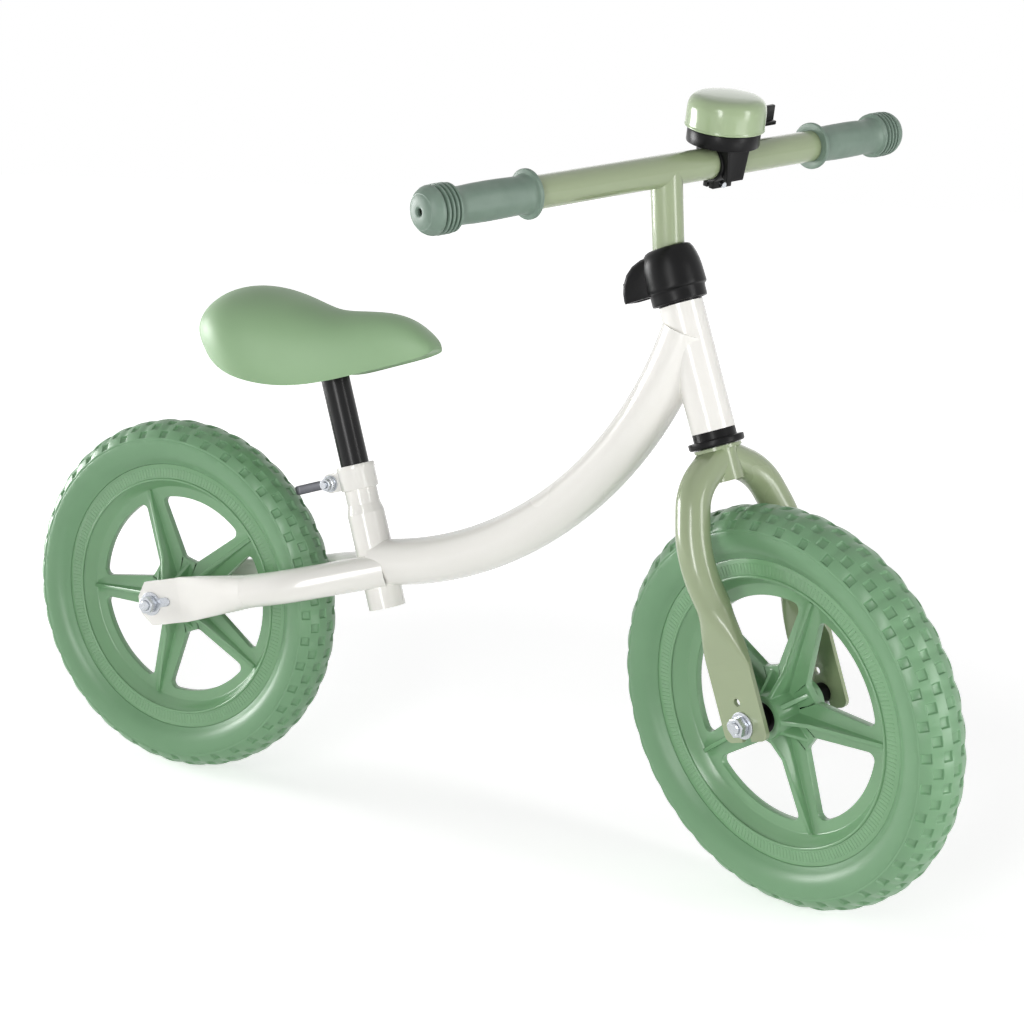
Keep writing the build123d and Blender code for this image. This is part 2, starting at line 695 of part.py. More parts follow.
with BuildPart() as upper_cup:
    with BuildSketch(Plane.XZ):
        with BuildLine():
            Polyline(
                (cup_bore_r, head_top - CUP_SLEEVE_L),
                (head_bore_r, head_top - CUP_SLEEVE_L),
                (head_bore_r, head_top),
                (CUP_NECK_R, head_top),
                (CUP_NECK_R, head_top + UPPER_CUP_T - 1),
                (CUP_NECK_R - 1, head_top + UPPER_CUP_T),
                (cup_bore_r, head_top + UPPER_CUP_T),
                close=True,
            )
        make_face()
    revolve(axis=Axis.Z)
save(upper_cup, "upper_cup", HEAD)


# Fork: steerer tube, a race ring welded to it, and two legs that bow out round the tyre.
clamp_bottom = head_top + UPPER_CUP_T + PLAY
clamp_top = clamp_bottom + CLAMP_H
race_top = cup_bottom - PLAY
race_bottom = race_top - RACE_T
stem_r = BAR_OD / 2

with BuildPart() as steerer:
    with Locations((0, 0, STEERER_BOTTOM)):
        Cylinder(steerer_r, clamp_top - STEERER_BOTTOM, align=(Align.CENTER, Align.CENTER, Align.MIN))
        Cylinder(
            stem_r + FIT,
            clamp_top - STEERER_BOTTOM,
            align=(Align.CENTER, Align.CENTER, Align.MIN),
            mode=Mode.SUBTRACT,
        )
    with Locations(Location((0, 0, clamp_top), (0, 0, CLAMP_ANGLE))):
        with Locations((steerer_r, 0, 0)):
            Box(STEERER_OD, SLIT_W, 2 * CLAMP_H - 4, mode=Mode.SUBTRACT)
save(steerer, "steerer", STEER)

with BuildPart() as crown_race:
    with Locations((0, 0, race_bottom)):
        Cylinder(steerer_r + 4, RACE_T, align=(Align.CENTER, Align.CENTER, Align.MIN))
        Cylinder(steerer_r, RACE_T, align=(Align.CENTER, Align.CENTER, Align.MIN), mode=Mode.SUBTRACT)
save(crown_race, "crown_race", STEER)

leg_r = LEG_OD / 2

for side, label in ((-1, "fork_leg_right"), (1, "fork_leg_left")):
    y = side * plate_mid
    with BuildPart() as leg:
        with BuildLine(Plane.YZ) as leg_path:
            FilletPolyline(
                (y, LEG_TUBE_BOTTOM),
                (side * (LEG_BOW_Y - 0.5), WHEEL_R - 39),
                (side * (LEG_BOW_Y - 2), WHEEL_R - 15),
                (side * (LEG_BOW_Y - 14), WHEEL_R + 18),
                (side * 4, WHEEL_R + 35),
                radius=(LEG_FOOT_R, LEG_BOW_R, LEG_CROWN_R),
            )
        with BuildSketch(Plane(origin=leg_path.line @ 0, x_dir=(1, 0, 0), z_dir=leg_path.line % 0)):
            Circle(leg_r)
            Circle(leg_r - WALL, mode=Mode.SUBTRACT)
        sweep(path=leg_path.line)
        with BuildSketch(Plane(origin=leg_path.line @ 0, x_dir=(1, 0, 0), z_dir=leg_path.line % 0)):
            Circle(leg_r)
        with BuildSketch(Plane.XY.offset(LEG_PLATE_TOP)):
            with Locations((0, y)):
                Ellipse(FORK_PLATE_W / 2, PLATE_T / 2)
        loft()
        with BuildSketch(Plane.XZ.offset(-y)) as leg_plate:
            with BuildLine():
                Polyline(
                    (-FORK_PLATE_W / 2, LEG_PLATE_TOP),
                    (-FORK_PLATE_W / 2, FORK_PLATE_BOTTOM),
                    (FORK_PLATE_W / 2, FORK_PLATE_BOTTOM),
                    (FORK_PLATE_W / 2, LEG_PLATE_TOP),
                    close=True,
                )
            make_face()
            fillet(leg_plate.vertices().group_by(Axis.Y)[0], FORK_PLATE_CORNER_R)
            with Locations((0, FORK_PLATE_BOTTOM)):
                SlotCenterToCenter(-2 * FORK_PLATE_BOTTOM, AXLE_D + 0.4, rotation=90, mode=Mode.SUBTRACT)
            with Locations((0, TAB_HOLE_X)):
                Circle(TAB_HOLE_R, mode=Mode.SUBTRACT)
        extrude(amount=PLATE_T / 2, both=True)
        with Locations((0, 0, race_bottom)):
            Box(
                4 * LEG_BOW_Y,
                4 * LEG_BOW_Y,
                WHEEL_R,
                align=(Align.CENTER, Align.CENTER, Align.MIN),
                mode=Mode.SUBTRACT,
            )
        Cylinder(steerer_r, 3 * HEAD_TUBE_BOTTOM, mode=Mode.SUBTRACT)
    save(leg, label, STEER)


# Stem clamp: a slit ring with two lugs and a cross bolt, and a moulded cover standing on it.
CLAMP = STEER * Location((0, 0, 0), (0, 0, CLAMP_ANGLE))
BOLT_R = 2.5
BOLT_HEAD_R = 4.5
BOLT_HEAD_H = 5.0
BOLT_X = 22.0
clamp_mid = (clamp_bottom + clamp_top) / 2
lug_side = SLIT_W / 2 + 5

with BuildPart() as stem_clamp:
    with Locations((0, 0, clamp_mid)):
        Cylinder(CLAMP_R, CLAMP_H)
        with Locations((CLAMP_LUG_REACH / 2, 0, 0)):
            Box(CLAMP_LUG_REACH, 2 * lug_side, CLAMP_H - 6)
        Cylinder(steerer_r, CLAMP_H, mode=Mode.SUBTRACT)
        with Locations((CLAMP_LUG_REACH / 2, 0, 0)):
            Box(CLAMP_LUG_REACH, SLIT_W, CLAMP_H, mode=Mode.SUBTRACT)
        with Locations((BOLT_X, 0, 0)):
            Cylinder(BOLT_R + 0.2, 4 * lug_side, rotation=(90, 0, 0), mode=Mode.SUBTRACT)
save(stem_clamp, "stem_clamp", CLAMP)

with BuildPart() as stem_clamp_bolt:
    with Locations((BOLT_X, 0, clamp_mid)):
        Cylinder(BOLT_R, 2 * lug_side, rotation=(90, 0, 0))
        with Locations((0, lug_side + BOLT_HEAD_H / 2, 0)):
            Cylinder(BOLT_HEAD_R, BOLT_HEAD_H, rotation=(90, 0, 0))
            Cylinder(2, BOLT_HEAD_H, rotation=(90, 0, 0), mode=Mode.SUBTRACT)
        with Locations((0, -lug_side - 2, 0)):
            Cylinder(BOLT_HEAD_R, 4, rotation=(90, 0, 0))
save(stem_clamp_bolt, "stem_clamp_bolt", CLAMP)

cover_bottom = head_top + 1.5
cover_top = cover_bottom + COVER_H
cover_in = clamp_top
STEM_HOLE_PLAY = 0.8
stem_shift = (cover_top - STEM_BEND_RISE) * BAR_REACH / BAR_ABOVE_BEND
stem_way = radians(CLAMP_ANGLE - BAR_TURN)
stem_middle = (stem_shift / 2 * cos(stem_way), -stem_shift / 2 * sin(stem_way))

with BuildPart() as clamp_cover:
    with BuildSketch(Plane.XZ):
        with BuildLine():
            Polyline(
                (0, cover_bottom),
                (COVER_BOTTOM_R, cover_bottom),
                (COVER_BOTTOM_R - 1.5, cover_bottom + 6),
                (COVER_TOP_R + 1.5, cover_top - 9),
                (COVER_TOP_R - 1, cover_top - 2),
                (COVER_TOP_R - 3, cover_top),
                (0, cover_top),
                close=True,
            )
        make_face()
    revolve(axis=Axis.Z)
    with BuildSketch(Plane.XZ.offset(-COVER_LOBE_W / 2)):
        with BuildLine():
            Polyline(
                (0, cover_bottom + 8),
                (COVER_LOBE_REACH, cover_bottom + 8),
                (COVER_LOBE_REACH - 0.5, cover_bottom + 14),
                (COVER_LOBE_REACH - 3, cover_bottom + 22),
                (COVER_LOBE_REACH - 8, cover_bottom + 30),
                (COVER_TOP_R, cover_bottom + 34),
                (0, cover_bottom + 34),
                close=True,
            )
        make_face()
    extrude(amount=COVER_LOBE_W)
    with BuildSketch(Plane.XZ):
        with BuildLine():
            Polyline(
                (0, cover_bottom),
                (COVER_BOTTOM_R - COVER_WALL, cover_bottom),
                (COVER_BOTTOM_R - COVER_WALL - 1, cover_bottom + 6),
                (COVER_BOTTOM_R - COVER_WALL - 1, cover_in),
                (0, cover_in),
                close=True,
            )
        make_face()
    revolve(axis=Axis.Z, mode=Mode.SUBTRACT)
    with BuildSketch(Plane.XZ.offset(-COVER_LOBE_W / 2 + COVER_WALL)):
        with BuildLine():
            Polyline(
                (0, cover_bottom),
                (COVER_LOBE_REACH - COVER_WALL, cover_bottom),
                (COVER_LOBE_REACH - COVER_WALL - 0.5, cover_bottom + 14),
                (COVER_LOBE_REACH - COVER_WALL - 3, cover_bottom + 22),
                (COVER_LOBE_REACH - COVER_WALL - 5, cover_in),
                (0, cover_in),
                close=True,
            )
        make_face()
    extrude(amount=COVER_LOBE_W - 2 * COVER_WALL, mode=Mode.SUBTRACT)
    with BuildSketch():
        with Locations(stem_middle):
            SlotCenterToCenter(stem_shift, 2 * (stem_r + STEM_HOLE_PLAY), rotation=BAR_TURN - CLAMP_ANGLE)
    extrude(amount=2 * cover_top, mode=Mode.SUBTRACT)
save(clamp_cover, "clamp_cover", CLAMP)


# Handlebar: a bent stem that slides in the steerer, the bar, and two grips.
with BuildPart() as stem:
    with BuildLine(Plane.XZ) as stem_path:
        FilletPolyline(
            (0, STEM_BOTTOM),
            (0, STEM_BEND_RISE),
            (BAR_REACH, BAR_RISE),
            radius=STEM_BEND_R,
        )
    with BuildSketch(Plane(origin=stem_path.line @ 0, z_dir=stem_path.line % 0)):
        Circle(stem_r)
        Circle(stem_r - WALL, mode=Mode.SUBTRACT)
    sweep(path=stem_path.line)
    with Locations((BAR_REACH, 0, BAR_RISE)):
        Cylinder(stem_r, BAR_LENGTH, rotation=(90, 0, 0), mode=Mode.SUBTRACT)
save(stem, "stem", STEM)

GRIP_END_T = 3.0
bar_half = BAR_LENGTH / 2 - GRIP_END_T

with BuildPart() as handlebar:
    with Locations((0, BAR_SHIFT, 0)):
        Cylinder(stem_r, 2 * bar_half, rotation=(90, 0, 0))
        Cylinder(stem_r - WALL, 2 * bar_half, rotation=(90, 0, 0), mode=Mode.SUBTRACT)
save(handlebar, "handlebar", BAR)

grip_out = BAR_LENGTH / 2
grip_in = grip_out - GRIP_LENGTH

for side, label in ((-1, "grip_right"), (1, "grip_left")):
    with BuildPart() as grip:
        with BuildSketch():
            with BuildLine():
                Polyline(
                    (stem_r, grip_in),
                    (GRIP_FLANGE_R - 0.8, grip_in),
                    (GRIP_FLANGE_R, grip_in + 1.5),
                    (GRIP_FLANGE_R, grip_in + 3.5),
                    (GRIP_FLANGE_R - 0.8, grip_in + 5),
                    (GRIP_R - 0.6, grip_in + 6),
                    (GRIP_R + 0.4, grip_in + 24),
                    (GRIP_R + 0.4, grip_in + 44),
                    (GRIP_R - 0.6, grip_in + 60),
                    (GRIP_BULB_R - 1.6, grip_in + 68),
                    (GRIP_BULB_R, grip_out - 14),
                    (GRIP_BULB_R, grip_in + 79),
                    (GRIP_BULB_R - 1.8, grip_out - 4),
                    (GRIP_BULB_R - 5, grip_out - 0.8),
                    (GRIP_BULB_R - 7, grip_out),
                    (2.5, grip_out),
                    (2.5, bar_half),
                    (stem_r, bar_half),
                    close=True,
                )
            make_face()
        revolve(axis=Axis.Y)
        if side < 0:
            grip.part = grip.part.rotate(Axis.Z, 180)
        grip.part.move(Location((0, BAR_SHIFT, 0)))
    save(grip, label, BAR)


# Bell. Its strap closes round the bar, the base cup stands on the strap and the dome hangs over the cup.
strap_r = stem_r + STRAP_T
base_bottom = strap_r
base_top = base_bottom + BELL_BASE_H
dome_bottom = base_top + 0.8
dome_top = dome_bottom + BELL_H
STRAP_LUG = 17.5
STRAP_SCREW_Z = 15.2

with BuildPart() as bell_strap:
    Cylinder(strap_r, STRAP_W, rotation=(90, 0, 0))
    with Locations((0, 0, -STRAP_LUG)):
        Box(10, STRAP_W - 4, STRAP_LUG, align=(Align.CENTER, Align.CENTER, Align.MIN))
    Cylinder(stem_r, STRAP_W, rotation=(90, 0, 0), mode=Mode.SUBTRACT)
    with Locations((0, 0, -STRAP_LUG)):
        Box(2, STRAP_W, STRAP_LUG, align=(Align.CENTER, Align.CENTER, Align.MIN), mode=Mode.SUBTRACT)
    with Locations((0, 0, -STRAP_SCREW_Z)):
        Cylinder(1.5, 20, rotation=(0, 90, 0), mode=Mode.SUBTRACT)
save(bell_strap, "bell_strap", BELL)

with BuildPart() as bell_strap_screw:
    with Locations((0, 0, -STRAP_SCREW_Z)):
        Cylinder(1.5, 10, rotation=(0, 90, 0))
        with Locations((6, 0, 0)):
            Cylinder(2.0, 2, rotation=(0, 90, 0))
save(bell_strap_screw, "bell_strap_screw", BELL)

BELL_FLOOR = 2.5
BELL_CUP_WALL = 2.0
BELL_POST_R = 3.0
BELL_PIN_R = 2.0
gear_bottom = base_bottom + BELL_FLOOR + PLAY
GEAR_T = 3.0
gear_top = gear_bottom + GEAR_T
lever_x = -(BELL_PINION_R + BELL_SECTOR_R)
cup_in_r = BELL_BASE_R - BELL_CUP_WALL

with BuildPart() as bell_base:
    with Locations((0, 0, base_bottom)):
        Cylinder(BELL_BASE_R, BELL_BASE_H, align=(Align.CENTER, Align.CENTER, Align.MIN))
    with Locations((0, 0, base_bottom + BELL_FLOOR)):
        Cylinder(cup_in_r, BELL_BASE_H, align=(Align.CENTER, Align.CENTER, Align.MIN), mode=Mode.SUBTRACT)
    with Locations((0, 0, base_bottom)):
        Box(18, STRAP_W, 6, align=(Align.CENTER, Align.CENTER, Align.MAX))
    Cylinder(strap_r, 2 * STRAP_W, rotation=(90, 0, 0), mode=Mode.SUBTRACT)
    with BuildSketch(Plane.XY.offset(base_bottom + BELL_FLOOR)):
        with BuildLine():
            Polyline((lever_x - 6, 8), (lever_x - 6, 60), (40, 60), (lever_x + 24, 8), close=True)
        make_face()
    extrude(amount=BELL_BASE_H, mode=Mode.SUBTRACT)
save(bell_base, "bell_base", BELL)

with BuildPart() as bell_post:
    with Locations((0, 0, base_bottom + BELL_FLOOR)):
        Cylinder(
            BELL_POST_R,
            dome_top - BELL_WALL - base_bottom - BELL_FLOOR,
            align=(Align.CENTER, Align.CENTER, Align.MIN),
        )
save(bell_post, "bell_post", BELL)

shoulder_z = dome_top - BELL_SHOULDER_R
shoulder_in = BELL_R - BELL_SHOULDER_R

with BuildPart() as bell_dome:
    with BuildSketch(Plane.XZ):
        with BuildLine():
            Line((BELL_R - BELL_WALL, dome_bottom), (BELL_R, dome_bottom))
            Line((BELL_R, dome_bottom), (BELL_R, shoulder_z))
            CenterArc((shoulder_in, shoulder_z), BELL_SHOULDER_R, 0, 90)
            Line((shoulder_in, dome_top), (0, dome_top))
            Line((0, dome_top), (0, dome_top - BELL_WALL))
            Line((0, dome_top - BELL_WALL), (shoulder_in, dome_top - BELL_WALL))
            CenterArc((shoulder_in, shoulder_z), BELL_SHOULDER_R - BELL_WALL, 90, -90)
            Line((BELL_R - BELL_WALL, shoulder_z), (BELL_R - BELL_WALL, dome_bottom))
        make_face()
    revolve(axis=Axis.Z)
save(bell_dome, "bell_dome", BELL)


def gear(pitch_r, tooth, teeth, pitch_teeth, middle):
    """Flat gear outline: a disc with short tapered teeth centred on an angle."""
    step = 360 / pitch_teeth
    with BuildSketch() as outline:
        Circle(pitch_r - tooth)
        for index in range(teeth):
            turn = middle + (index - (teeth - 1) / 2) * step
            with Locations(Location((0, 0, 0), (0, 0, turn))):
                with Locations((pitch_r - tooth / 2, 0)):
                    Trapezoid(0.42 * tooth * 3.14, 1.7 * tooth, 76, rotation=-90)
    return outline.sketch


PINION_TEETH = 12
tooth = 2 * BELL_PINION_R / PINION_TEETH
sector_teeth = round(PINION_TEETH * BELL_SECTOR_R / BELL_PINION_R)

# Teeth of the lever stand on the line of centres, gaps of the pinion do.
LEVER = BELL * Location((lever_x, 0, 0))
SECTOR_BACK = 3.2
SPRING_H = 3.0

with BuildPart() as bell_lever:
    with BuildSketch(Plane.XY.offset(gear_bottom)):
        add(gear(BELL_SECTOR_R, tooth, 9, sector_teeth, 0))
        with Locations((-SECTOR_BACK, 0)):
            Rectangle(
                4 * BELL_SECTOR_R, 4 * BELL_SECTOR_R, align=(Align.MAX, Align.CENTER), mode=Mode.SUBTRACT
            )
        with BuildLine():
            Polyline((-SECTOR_BACK, 0), (-2, 38), (-2, 62), (4, 62), (5, 38), (5, 4), close=True)
        make_face()
    extrude(amount=GEAR_T)
    with BuildSketch(Plane.XY.offset(gear_bottom)):
        with BuildLine():
            Polyline((-2, 46), (-4, 64), (-1, 64), (1, 46), close=True)
        make_face()
    extrude(amount=13)
    with Locations((0, 0, gear_bottom)):
        Cylinder(BELL_PIN_R + FIT, 20, mode=Mode.SUBTRACT)
save(bell_lever, "bell_lever", LEVER)

with BuildPart() as bell_lever_pin:
    with Locations((0, 0, base_bottom + BELL_FLOOR)):
        Cylinder(BELL_PIN_R, GEAR_T + 2 * PLAY + SPRING_H, align=(Align.CENTER, Align.CENTER, Align.MIN))
save(bell_lever_pin, "bell_lever_pin", LEVER)

with BuildPart() as bell_spring:
    with Locations((0, 0, gear_top + PLAY)):
        Cylinder(BELL_PIN_R + 0.9, SPRING_H, align=(Align.CENTER, Align.CENTER, Align.MIN))
        Cylinder(BELL_PIN_R, SPRING_H, align=(Align.CENTER, Align.CENTER, Align.MIN), mode=Mode.SUBTRACT)
save(bell_spring, "bell_spring", LEVER)

ROTOR_ARM = 15.0
rotor_bottom = dome_bottom + 3.0
CLAPPER_R = 5.5
CLAPPER_T = 2.5

with BuildPart() as bell_rotor:
    with BuildSketch(Plane.XY.offset(gear_bottom)):
        add(gear(BELL_PINION_R, tooth, PINION_TEETH, PINION_TEETH, 0))
    extrude(amount=GEAR_T)
    with Locations((0, 0, gear_bottom)):
        Cylinder(
            BELL_PINION_R - tooth, rotor_bottom - gear_bottom, align=(Align.CENTER, Align.CENTER, Align.MIN)
        )
    with Locations((0, 0, rotor_bottom)):
        Box(2 * ROTOR_ARM + 6, 6, 2, align=(Align.CENTER, Align.CENTER, Align.MIN))
    for side in (-1, 1):
        with Locations((side * ROTOR_ARM, 0, rotor_bottom)):
            Cylinder(1.6, 2 + CLAPPER_T + 1, align=(Align.CENTER, Align.CENTER, Align.MIN))
    Cylinder(BELL_POST_R + FIT, 4 * dome_top, mode=Mode.SUBTRACT)
save(bell_rotor, "bell_rotor", BELL)

with BuildPart() as bell_clappers:
    for side in (-1, 1):
        with Locations((side * ROTOR_ARM, 0, rotor_bottom + 2)):
            Cylinder(CLAPPER_R, CLAPPER_T, align=(Align.CENTER, Align.CENTER, Align.MIN))
            Cylinder(1.6, CLAPPER_T, align=(Align.CENTER, Align.CENTER, Align.MIN), mode=Mode.SUBTRACT)
save(bell_clappers, "bell_clappers", BELL)
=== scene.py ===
# %% [markdown]
# # A small balance bike, dressed for a studio picture
# The solid model of the bike comes in as a fixed frame: every tube, nut and joint already has its
# place and its size. This lesson adds what a solid modeller leaves out: tread, foam, skin, paint
# and light. Each step says what the real piece is, how it could be made and why it is made this
# way.

# %% Load the frame
import json
from math import atan2, cos, degrees, pi, radians, sin, sqrt, tau

import bmesh
import bpy
from mathutils import Matrix, Vector


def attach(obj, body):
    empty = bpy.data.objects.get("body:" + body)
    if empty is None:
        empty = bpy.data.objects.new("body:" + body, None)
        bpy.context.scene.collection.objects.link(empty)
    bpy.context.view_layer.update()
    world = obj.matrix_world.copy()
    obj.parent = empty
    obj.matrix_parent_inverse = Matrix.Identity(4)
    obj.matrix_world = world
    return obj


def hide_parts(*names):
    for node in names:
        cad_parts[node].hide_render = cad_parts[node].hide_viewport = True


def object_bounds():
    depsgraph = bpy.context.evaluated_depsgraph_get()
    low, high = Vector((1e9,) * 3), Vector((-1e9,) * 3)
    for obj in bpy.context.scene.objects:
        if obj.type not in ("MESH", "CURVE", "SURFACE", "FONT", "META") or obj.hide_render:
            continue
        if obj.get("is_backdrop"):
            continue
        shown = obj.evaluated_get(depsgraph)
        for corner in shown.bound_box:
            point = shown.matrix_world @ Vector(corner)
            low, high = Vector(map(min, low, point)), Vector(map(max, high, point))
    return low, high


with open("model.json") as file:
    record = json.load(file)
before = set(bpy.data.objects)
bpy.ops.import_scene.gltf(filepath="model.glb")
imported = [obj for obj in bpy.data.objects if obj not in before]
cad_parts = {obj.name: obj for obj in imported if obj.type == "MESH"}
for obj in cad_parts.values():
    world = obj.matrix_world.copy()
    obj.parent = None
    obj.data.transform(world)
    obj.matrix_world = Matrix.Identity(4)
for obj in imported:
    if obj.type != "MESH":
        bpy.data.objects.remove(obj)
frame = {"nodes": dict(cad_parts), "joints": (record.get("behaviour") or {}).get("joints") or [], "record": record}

cad_low, cad_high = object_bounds()
nodes = frame["nodes"]
print("nodes:", len(nodes), "size in metres:", [round(v, 3) for v in cad_high - cad_low])

# %% [markdown]
# ## Where things are
# A bike has a few natural frames: each wheel turns about its axle, the fork about the leaning
# steering axis, the seat slides along its post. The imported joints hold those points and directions,
# so the frames below are read from them and nothing is measured twice. In each frame Y runs to the
# rider's left and Z runs up along the axis of the piece.

# %% Frames of the bike
joints = {joint["name"]: joint for joint in frame["joints"]}


def joint_point(name):
    return Vector(joints[name]["pos_m"])


def joint_axis(name):
    return Vector(joints[name]["axis"]).normalized()


def place_of(origin, up, left):
    """Matrix of a frame at a point, from its upward Z and its leftward Y."""
    x = left.cross(up)
    columns = Matrix((x, left, up)).transposed().to_4x4()
    return Matrix.Translation(origin) @ columns


LEFT = Vector((0, 1, 0))
steer_up = joint_axis("steering")
wheel_left = joint_axis("front_wheel_spin")
seat_up = joint_axis("seat_height")
bell_up = joint_axis("bell_rotor_spin")
front_axle = joint_point("front_wheel_spin")
rear_axle = joint_point("rear_wheel_spin")

REAR = place_of(rear_axle, Vector((0, 0, 1)), LEFT)
STEER = place_of(front_axle, steer_up, wheel_left)
WHEELS = (("rear_wheel", REAR), ("front_wheel", STEER))

SKEWER_BACK = 0.0218
SKEWER_DROP = 0.0105
lever_pin = joint_point("qr_lever_swing")
seat_forward = LEFT.cross(seat_up)
seat_top = Vector((lever_pin.x, 0, lever_pin.z))
seat_top += SKEWER_BACK * seat_forward + SKEWER_DROP * seat_up
SEAT = place_of(seat_top, seat_up, LEFT)

ROTOR_JOINT_RISE = 0.024
BELL_FROM_STEM = 0.051
bar_forward = joint_point("bell_rotor_spin") - joint_point("bell_lever_press")
bar_forward = (bar_forward - bar_forward.dot(bell_up) * bell_up).normalized()
bar_left = bell_up.cross(bar_forward)
bell_foot = joint_point("bell_rotor_spin") - ROTOR_JOINT_RISE * bell_up
BELL = place_of(bell_foot, bell_up, bar_left)
bar_middle = bell_foot - BELL_FROM_STEM * bar_left
BAR = place_of(bar_middle, bell_up, bar_left)
STEM = place_of(front_axle, steer_up, bar_left)
print("front axle", front_axle, "seat tube top", seat_top, "bar middle", bar_middle)

# %% [markdown]
# ## Modelling helpers
# Working by hand, one selects, changes to edit mode, runs an operator and goes back. These
# helpers are those habits written down. An operator acts on everything selected, so each of them
# first deselects all. A lathe helper spins a ring of profile points about Y, because most pieces
# of a bike are round.

# %% Helpers for selecting and editing
def deselect_everything():
    if bpy.context.mode != "OBJECT":
        bpy.ops.object.mode_set(mode="OBJECT")
    bpy.ops.object.select_all(action="DESELECT")


def take(piece):
    """Make one piece the only selected and the active one."""
    deselect_everything()
    piece.select_set(True)
    bpy.context.view_layer.objects.active = piece


def start_editing(piece):
    take(piece)
    bpy.ops.object.mode_set(mode="EDIT")
    bpy.ops.mesh.select_mode(type="FACE")
    bpy.ops.mesh.select_all(action="DESELECT")


def stop_editing():
    bpy.ops.object.mode_set(mode="OBJECT")


def pick_faces(piece, wanted):
    """In edit mode, select the faces whose centre and normal pass a test."""
    bpy.ops.mesh.select_all(action="DESELECT")
    mesh = bmesh.from_edit_mesh(piece.data)
    for face in mesh.faces:
        face.select_set(bool(wanted(face.calc_center_median(), face.normal)))
    bmesh.update_edit_mesh(piece.data)


def apply_modifier(piece, kind, **settings):
    take(piece)
    modifier = piece.modifiers.new(kind.title(), kind)
    for name, value in settings.items():
        setattr(modifier, name, value)
    bpy.ops.object.modifier_apply(modifier=modifier.name)


def smooth_over(piece, levels):
    apply_modifier(piece, "SUBSURF", levels=levels, render_levels=levels)


def round_edges(piece, width, segments=2, angle=30):
    apply_modifier(
        piece, "BEVEL", width=width, segments=segments, limit_method="ANGLE",
        angle_limit=radians(angle), harden_normals=False,
    )


# %% Lathe and mounting helpers
MERGE = 1e-6


def turn_on_lathe(name, profile, steps):
    """Closed ring of (radius, along Y) points, spun a full turn about the Y axis."""
    deselect_everything()
    bpy.ops.mesh.primitive_circle_add(vertices=len(profile), fill_type="NOTHING")
    piece = bpy.context.object
    piece.name = name
    for vertex, (radius, along) in zip(piece.data.vertices, profile):
        vertex.co = (radius, along, 0)
    start_editing(piece)
    bpy.ops.mesh.select_all(action="SELECT")
    bpy.ops.mesh.spin(steps=steps, angle=tau, center=(0, 0, 0), axis=(0, 1, 0))
    bpy.ops.mesh.select_all(action="SELECT")
    bpy.ops.mesh.remove_doubles(threshold=MERGE)
    bpy.ops.mesh.normals_make_consistent(inside=False)
    stop_editing()
    return piece


def skin_over(name, rings):
    """Grid wrapped through rings of points into a closed skin, its two ends drawn to a point."""
    around = len(rings[0])
    deselect_everything()
    bpy.ops.mesh.primitive_grid_add(x_subdivisions=around, y_subdivisions=len(rings) - 1)
    piece = bpy.context.object
    piece.name = name
    for index, vertex in enumerate(piece.data.vertices):
        row, column = divmod(index, around + 1)
        vertex.co = rings[row][column % around]
    start_editing(piece)
    bpy.ops.mesh.select_all(action="SELECT")
    bpy.ops.mesh.remove_doubles(threshold=MERGE)
    bpy.ops.mesh.normals_make_consistent(inside=False)
    stop_editing()
    return piece


def pinched(ring, shift):
    """The same ring drawn to its middle, to close an end."""
    middle = sum(ring, Vector()) / len(ring) + Vector((shift, 0, 0))
    return [middle.copy() for _ in ring]


def settle(piece, place):
    """Move a piece from its own frame to its place on the bike and fix that in its mesh."""
    take(piece)
    piece.matrix_world = place
    bpy.ops.object.transform_apply(location=True, rotation=True, scale=True)


def mount(piece, body, slot, angle=35, replaces=()):
    """Shade a settled piece, let it ride on its body and name the finish it takes."""
    take(piece)
    bpy.ops.object.shade_smooth_by_angle(angle=radians(angle))
    piece.data.materials.clear()
    piece.data.materials.append(finishes[slot])
    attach(piece, body)
    if replaces:
        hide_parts(*replaces)
    print(piece.name, "rides on", body, "with", len(piece.data.polygons), "faces")


# %% [markdown]
# ## Finishes
# Paint, foam, skin, rubber and plastic differ less in colour than in how they break up the light.
# Gloss paint has a faint orange peel, foam, rubber and plastic have the fine grain of their mould,
# metal has scratches. Such an effect serves several materials, so it is a node group with inputs.
# Every pattern reads Object coordinates, which are metres here, so a scale of 400 is about 2.5 mm.

# %% Colour and group helpers
def from_screen(red, green, blue):
    """Turn a colour as a screen shows it, 0 to 255, into the linear values a shader uses."""
    def linear(value):
        value = value / 255
        return value / 12.92 if value <= 0.04045 else ((value + 0.055) / 1.055) ** 2.4
    return (linear(red), linear(green), linear(blue), 1)


def new_group(name, inputs, outputs):
    """Empty shader group with named sockets, and its two end nodes."""
    group = bpy.data.node_groups.new(name, "ShaderNodeTree")
    for label, kind, value in inputs:
        socket = group.interface.new_socket(name=label, in_out="INPUT", socket_type=kind)
        socket.default_value = value
    for label, kind in outputs:
        group.interface.new_socket(name=label, in_out="OUTPUT", socket_type=kind)
    return group, group.nodes.new("NodeGroupInput"), group.nodes.new("NodeGroupOutput")


def noise_in(group, scale, detail, socket=None):
    """Noise on Object coordinates, its scale a number or a socket of the group."""
    where = group.nodes.new("ShaderNodeTexCoord")
    noise = group.nodes.new("ShaderNodeTexNoise")
    noise.inputs["Scale"].default_value = scale
    noise.inputs["Detail"].default_value = detail
    group.links.new(where.outputs["Object"], noise.inputs["Vector"])
    if socket:
        group.links.new(socket, noise.inputs["Scale"])
    return noise.outputs["Fac"]


def spread_in(group, value, low, high):
    """Map a 0 to 1 noise to a range whose ends are sockets."""
    spread = group.nodes.new("ShaderNodeMapRange")
    spread.inputs["From Min"].default_value = 0.3
    spread.inputs["From Max"].default_value = 0.7
    group.links.new(value, spread.inputs["Value"])
    group.links.new(low, spread.inputs["To Min"])
    group.links.new(high, spread.inputs["To Max"])
    return spread.outputs["Result"]


